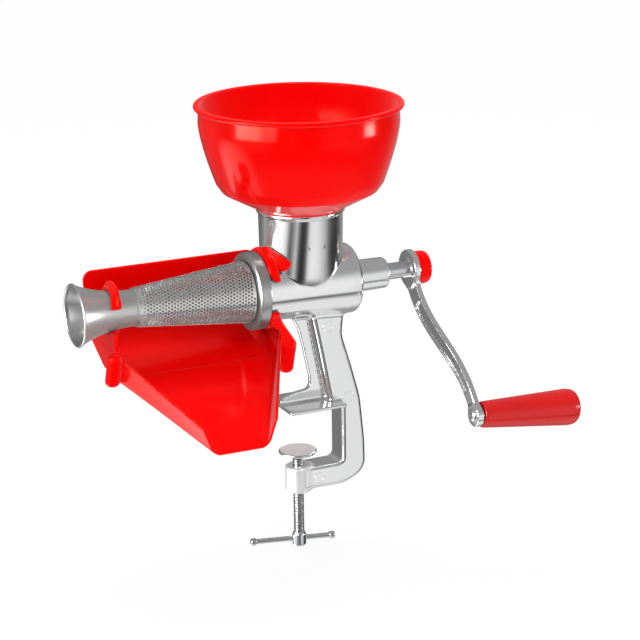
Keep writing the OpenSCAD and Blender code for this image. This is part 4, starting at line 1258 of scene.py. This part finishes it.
def thickened(mesh, wall):
    """The sheet, in millimetres, as a closed wall that grows towards the axis.

    Its inner face and the walls of its holes get the piece's second finish, a near-black painted shade.
    """
    work = bmesh.new()
    work.from_mesh(mesh)
    bmesh.ops.dissolve_degenerate(work, dist=0.01, edges=work.edges)
    rim = [edge for edge in work.edges if edge.is_boundary]
    outer = list(work.verts)
    inner = {}
    for vert in outer:
        radial = np.array([vert.co.y, vert.co.z - axis_z])
        y, z = radial / np.linalg.norm(radial) * math.cos(lean) * wall
        inner[vert] = work.verts.new((vert.co.x + math.sin(lean) * wall, vert.co.y - y, vert.co.z - z))
    for face in list(work.faces):
        work.faces.new([inner[v] for v in reversed(face.verts)]).material_index = 1
    for edge in rim:
        a, b = edge.verts
        work.faces.new((b, a, inner[a], inner[b])).material_index = 1
    bmesh.ops.recalc_face_normals(work, faces=work.faces)
    work.to_mesh(mesh)
    work.free()
    mesh.transform(Matrix.Scale(MM, 4))
    mesh.polygons.foreach_set("use_smooth", [True] * len(mesh.polygons))
    mesh.set_sharp_from_angle(angle=math.radians(40))
    return mesh


cone = piece("cone", thickened(cone_mesh, CONE_WALL), strainer_sheet, "strainer", "stainless",
             "strainer_cone")
# the inner face and the walls of the holes are painted as shade
cone.data.materials.append(sheet_painted_shade)

# %% [markdown]
# ## Collar and waste spout
#
# The collar is a drawn ring with a bright rounded rim, and it turns on the barrel
# to lock the strainer. The waste spout is a tube that flares to a mouth with a
# rolled edge. Both are turned, so both are outlines.

# %% Collar
collar_outline = [(21.8, -43.2, 0.2), (22.9, -44.2, 0.4), (25.4, -44.3, 1.0), (27.2, -44.2, 0.8),
                  (28.5, -43.2, 0.9), (28.3, -41.4, 1.0), (28.2, -35.9, 0.6), (27.9, -35.2, 0.3),
                  (26.7, -35.2, 0.2), (26.7, -42.2, 0.4), (21.8, -42.2, 0.2)]
turned("collar", collar_outline, dull_steel_and_inner_shade, "strainer", "stainless", "strainer_collar", parts=160)

# %% Waste spout
SPOUT_END_U, SPOUT_ROOT_R, SPOUT_MOUTH_R = -173.0, 13.0, 21.85
SPOUT_WALL = 1.0
FLARE_U = CONE_SMALL_U - 1             # where the flare begins
FLARE_RUN = SPOUT_END_U + 0.6 - FLARE_U
FLARE_POWER = 2.2
EDGE_AT, EDGE_R = (SPOUT_MOUTH_R - 0.1, SPOUT_END_U + 0.1), 0.95


def flare(t):
    """Radius of the spout's outer face; t runs from 0 at its root to 1 at its mouth."""
    return SPOUT_ROOT_R + (SPOUT_MOUTH_R - SPOUT_ROOT_R) * t ** FLARE_POWER


def inside_spout(x, y, z):
    """Whether a point lies nearer the axis than the tube's outer face."""
    t = max((x - neck_x - FLARE_U) / FLARE_RUN, 0)
    return math.hypot(y, z - axis_z) < flare(t) - 0.6


outside = [(flare(t), FLARE_U + FLARE_RUN * t) for t in np.linspace(0, 1, 22)]
inside = [(r - SPOUT_WALL, u) for r, u in outside[::-1]]
spout_outline = (smooth_run(outside) + bead(EDGE_AT, EDGE_R, 70, -171, -20) + smooth_run(inside)
                 + [(12.9, -124.2, 0.3), (13.5, -124.2, 0.2), (13.1, -130.6, 0.5)])
spout = turned("waste_spout", spout_outline, stainless, "strainer", "stainless", "waste_spout", parts=160)
# the spout's inside gets the darker finish, a painted shade
refinish(spout, dull_steel_and_inner_shade, inside_spout)

# %% [markdown]
# ## Crank arm
#
# The arm is a casting too: an S-shaped bar with a groove along both faces, so
# that its section is an I, a flat round end that sits on the shaft, and an eye for
# the grip's pin. Its middle line is one cubic curve, and every point's distance is
# taken from the nearest stretch of it, which also tells how far along it lies.

# %% The crank arm as a distance
THROW_Y, THROW_W = -103.0, -83.0       # from the shaft to the grip's pin
ARM_U, ARM_HALF, ARM_L = 88.1, 2.15, 140.0
ARM_WIDE, ARM_TAPER = 7.5, 2.15        # half width at the hub, and how much less it is at the eye
GROOVE_MID, GROOVE_HALF = 0.535, 0.335     # shares of the arm's length
GROOVE_EDGE, GROOVE_WEB = 2.3, 0.95
HUB_R, HUB_BORE_R = 14.2, 3.3
EYE_U, EYE_R, EYE_HALF, PIN_HOLE_R = 88.0, 8.0, 2.6, 3.05
hub_outline = filleted([(85.6, -5, 0), (85.6, HUB_R, 1.0), (90.4, HUB_R, 0.8), (90.4, -5, 0)])


def cubic_curve(p0, p1, p2, p3, count):
    """Points along a cubic curve."""
    p0, p1, p2, p3 = (np.array(p, float) for p in (p0, p1, p2, p3))
    t = np.linspace(0, 1, count)[:, None]
    return (1 - t) ** 3 * p0 + 3 * t * (1 - t) ** 2 * p1 + 3 * t * t * (1 - t) * p2 + t ** 3 * p3


arm_line = cubic_curve((0, 0), (-20, -48), (-80, -38), (THROW_Y, THROW_W), 25)


def crank_distance(x, y, z):
    u, w = x - neck_x, z - axis_z
    near = np.full(np.shape(x), 1e12)
    place = np.zeros(np.shape(x))
    for i, (start, end) in enumerate(zip(arm_line, arm_line[1:])):
        ex, ey = end - start
        wx, wy = y - start[0], w - start[1]
        t = np.clip((wx * ex + wy * ey) / (ex * ex + ey * ey), 0, 1)
        far = (wx - ex * t) ** 2 + (wy - ey * t) ** 2
        place = np.where(far < near, (i + t) / (len(arm_line) - 1), place)
        near = np.minimum(near, far)
    beside = np.sqrt(near) - (ARM_WIDE - ARM_TAPER * place)
    arm = slice_of(beside, u, ARM_U, ARM_HALF, 1.1)
    groove = soft_max(beside + GROOVE_EDGE, (np.abs(place - GROOVE_MID) - GROOVE_HALF) * ARM_L, 3.0)
    groove = round_max(groove, GROOVE_WEB - np.abs(u - ARM_U), 0.5)
    arm = soft_max(arm, -groove, 0.6)
    about_hub, about_pin = np.hypot(y, w), np.hypot(y - THROW_Y, w - THROW_W)
    hub = polygon_distance(u, about_hub, hub_outline)
    eye = slice_of(about_pin - EYE_R, u, EYE_U, EYE_HALF, 0.8)
    body = soft_min(soft_min(arm, hub, 3.0), eye, 2.0)
    return soft_max(body, -np.minimum(about_pin - PIN_HOLE_R, about_hub - HUB_BORE_R), 0.3)


ARM_GRID = 0.5
arm_mesh = new_mesh("crank_arm", *surface_net(
    crank_distance, (86, -113, 0), (101, 16, 109), ARM_GRID))
piece("crank", arm_mesh, polished_casting, "crank", "cast_aluminium", "crank_arm")

# %% [markdown]
# ## Grip, knob and the round steel pieces
#
# The grip swells away from the arm and spins on its pin. The knob is a domed cap.
# The pin's head is riveted over, and a washer lies under the knob. All of them are
# round, so they are outlines again, each put on its own axis.

# %% The grip and its pin, on a tilted axis
GRIP_TILT = math.radians(4.4)
ALONG_PIN = np.array(Matrix.Rotation(math.pi / 2 + GRIP_TILT, 3, "Y"))
grip_at = cross + np.array([91.5, THROW_Y, THROW_W])
grip_outline = [(3.1, 0, 0.2), (8.9, 0, 0.8), (9.5, 1.6, 0.8), (13.4, 70.5, 12.0), (12.6, 76.2, 4.5),
                (6.5, 79, 5.0), (0, 79, 0), (0, 64, 0), (6, 63, 0), (6, 58.6, 0), (3.1, 58.6, 0)]
turned("grip_handle", grip_outline, red_satin, "grip", "red_satin_plastic", "grip",
       turn=ALONG_PIN, centre=grip_at)

rivet_outline = [(0, -8.1, 0), (3.4, -8.1, 0.9), (4.6, -7.1, 0.5), (4.6, -6.5, 0), (0, -6.5, 0)]
turned("rivet_head", rivet_outline, zinc, "crank", "plated_steel", "grip_pin_head",
       turn=ALONG_PIN, centre=grip_at, parts=48)

# %% Knob and washer, on the barrel's axis
knob_outline = [(3, 91.45, 0), (11.5, 91.45, 0.6), (12.1, 92.5, 0.9), (12.4, 96.5, 9.0),
                (12.0, 101.1, 2.6), (5.0, 101.6, 5.0), (0, 101.65, 0), (0, 97.6, 0), (3, 97.6, 0)]
turned("knob", knob_outline, red_gloss, "knob", "red_plastic", "lock_knob", parts=96)
washer_outline = [(3.2, 90.45, 0.1), (7.5, 90.45, 0.2), (7.5, 91.35, 0.2), (3.2, 91.35, 0.1)]
turned("washer", washer_outline, zinc, "knob_carrier", "plated_steel", "knob_washer", parts=64)

# %% [markdown]
# ## Clamp screw
#
# The screw is plated steel with a coarse rolled thread, and a bar through its
# head turns it. A thread is a ridge wound round a core. Geometry Nodes draw it as
# a strip: along the strip runs the helix, and across it the profile of one turn,
# which meets its neighbour, so the thread closes.

# %% The tree that winds a thread
thread_tree, w, given, result = geometry_tree("wound_thread", [
    ("Pitch", "Float"), ("Core Radius", "Float"), ("Crest Radius", "Float"),
    ("Top", "Float"), ("Turns", "Int"), ("Material", "Material")])
AROUND, ACROSS = 40, 7                 # steps in one turn, and points across the profile
CREST_ENDS, ROOT_STARTS = 0.08, 0.42   # shares of a pitch, from the middle of the crest
count = w.plus(w.times(given["Turns"], AROUND), 1.0)
strip = w.add("GeometryNodeMeshGrid", (2, count), (3, ACROSS)).outputs[0]
index = w.add("GeometryNodeInputIndex").outputs[0]
step = w.math("FLOOR", w.over(index, ACROSS))
place = w.over(w.minus(index, w.times(step, ACROSS)), ACROSS - 1)
turns = w.over(step, AROUND)
flank = w.ramp(w.math("ABSOLUTE", w.minus(place, 0.5)), CREST_ENDS, ROOT_STARTS, 1.0, 0.0)
depth = w.minus(given["Crest Radius"], given["Core Radius"])
radius = w.plus(given["Core Radius"], w.times(flank, depth))
x, y = w.on_circle(radius, w.times(turns, -2 * math.pi))
drop = w.times(w.plus(turns, place), given["Pitch"])
wound = w.add("ShaderNodeCombineXYZ", (0, x), (1, y), (2, w.minus(given["Top"], drop))).outputs[0]
strip = w.add("GeometryNodeSetPosition", ("Geometry", strip), ("Position", wound)).outputs[0]
strip = w.add("GeometryNodeMergeByDistance", ("Geometry", strip), ("Distance", 0.01)).outputs[0]
strip = w.add("GeometryNodeRealizeInstances", (0, strip)).outputs[0]
strip = w.add("GeometryNodeSetMaterial", ("Geometry", strip), ("Material", given["Material"])).outputs[0]
w.put(result.inputs[0], strip)
print("thread tree:", len(thread_tree.nodes), "nodes")

# %% The drilled head as a distance
BAR_TURN = math.radians(13)
along_bar = np.array([math.cos(BAR_TURN), -math.sin(BAR_TURN), 0.0])
HEAD_MID, HEAD_HOLE_R = -105.5, 1.98
head_outline = filleted([(-1, -111, 0), (5.2, -111, 1.8), (5.2, -102, 2.2), (4.0, -99.6, 1),
                         (-1, -99.6, 0)])


def head_distance(x, y, z):
    """A turned head with the bar's hole across it."""
    body = polygon_distance(np.hypot(x, y), z, head_outline)
    across = x * along_bar[1] - y * along_bar[0]
    return soft_max(body, HEAD_HOLE_R - np.hypot(across, z - HEAD_MID), 0.35)


print("the bar lies", round(math.degrees(BAR_TURN)), "degrees from the barrel's direction")

# %% Thread, neck and head together make the screw
def closed(mesh):
    """Open ends filled and normals turned outwards; the mesh stays in its own units."""
    work = bmesh.new()
    work.from_mesh(mesh)
    bmesh.ops.holes_fill(work, edges=[e for e in work.edges if e.is_boundary])
    bmesh.ops.recalc_face_normals(work, faces=work.faces)
    work.to_mesh(mesh)
    work.free()
    return mesh


ON_SCREW = (0, 0, 0)                   # the screw's axis passes through the origin
thread = grown("thread", thread_tree, {"Pitch": 1.25, "Core Radius": 3.3, "Crest Radius": 3.98,
                                       "Top": -41.5, "Turns": 47, "Material": thread_steel})
closed(thread).transform(Matrix.Scale(MM, 4))
thread.polygons.foreach_set("use_smooth", [True] * len(thread.polygons))
neck_outline = [(0, -41.6, 0), (3.5, -41.6, 0.2), (3.5, -40.4, 0.3), (2.45, -40.1, 0.2),
                (2.45, -36.6, 0.2), (0, -36.6, 0)]
neck = revolved_mesh("screw_neck", neck_outline, turn=UPRIGHT, centre=ON_SCREW, parts=48)
HEAD_GRID = 0.3
head = new_mesh("screw_head", *surface_net(
    head_distance, (-6.5, -6.5, -112), (6.5, 6.5, -98.6), HEAD_GRID))
screw = piece("screw", joined("screw", [thread, neck, head]), zinc, "screw", "plated_steel", "clamp_screw")
refinish(screw, thread_steel, lambda x, y, z: -99.7 < z < -41.6 and math.hypot(x, y) < 4.05)

# %% Pressure disc
disc_outline = [(0, -36.2, 0), (2.6, -36.2, 0), (2.6, -40.2, 0.1), (5.0, -40.4, 0.8), (5.9, -38.1, 0.6),
                (11.2, -37.9, 1.0), (14.0, -37.2, 1.2), (14.3, -35.6, 1.0), (13.2, -34.8, 0.6),
                (11.8, -34.95, 0.5), (4.6, -34.95, 0.5), (3.9, -35.4, 0.3), (0, -35.4, 0)]
disc = turned("disc", disc_outline, zinc, "jaw_disc", "plated_steel", "pressure_disc",
              turn=UPRIGHT, centre=ON_SCREW, parts=96)
refinish(disc, blasted_steel, lambda x, y, z: z > -35.6 and math.hypot(x, y) < 13.3)

# %% Tommy bar and its end caps
ALONG_BAR = np.array(Matrix.Rotation(-BAR_TURN, 3, "Z") @ Matrix.Rotation(math.pi / 2, 3, "Y"))
ON_BAR = {"turn": ALONG_BAR, "centre": (0, 0, HEAD_MID), "parts": 40}
BAR_R, CAP_R, CAP_L = 1.9, 2.7, 4.2
BAR_ENDS = (-33.0, 23.0)
bar_outline = [(0, BAR_ENDS[0], 0), (BAR_R, BAR_ENDS[0], 0.2), (BAR_R, BAR_ENDS[1], 0.2), (0, BAR_ENDS[1], 0)]
turned("bar", bar_outline, zinc, "bar", "plated_steel", "tommy_bar", **ON_BAR)
caps = []
for end, way in zip(BAR_ENDS, (-1, 1)):
    tip = end + way * CAP_L
    cap = [(0, end, 0), (CAP_R, end, 0.5), (CAP_R, tip, 1.3), (0, tip, 0)]
    caps.append(revolved_mesh("cap", cap, **ON_BAR))
piece("bar_caps", joined("bar_caps", caps), zinc, "bar", "plated_steel", "bar_end_caps")

# %% [markdown]
# ## The solids that stay
#
# The shaft is a plain bar, and the inner pieces are right as solids: bush, seal,
# conveyor, cross pin, thrust washer, stud, pin and clip. They need only a finish.

# %% Finishes on the solids that stay
# the conveyor gets the nylon that is darkened by painted shade
KEPT = {"shaft_bush": bronze, "shaft_seal": seal_rubber, "auger": nylon_in_painted_shade,
        "thrust_washer": white_nylon}
KEPT |= dict.fromkeys(["drive_shaft", "drive_pin", "knob_stud", "grip_pin", "grip_clip"], zinc)
for node, material in KEPT.items():
    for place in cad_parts[node].material_slots:
        place.material = material
print("finished solids:", len(KEPT))

# %% [markdown]
# ## Closing
#
# The picture keeps plain colours, so the view transform is Standard.

# %% View, and a count of the pieces
bpy.context.scene.view_settings.view_transform = "Standard"
print("pieces:", len(made))
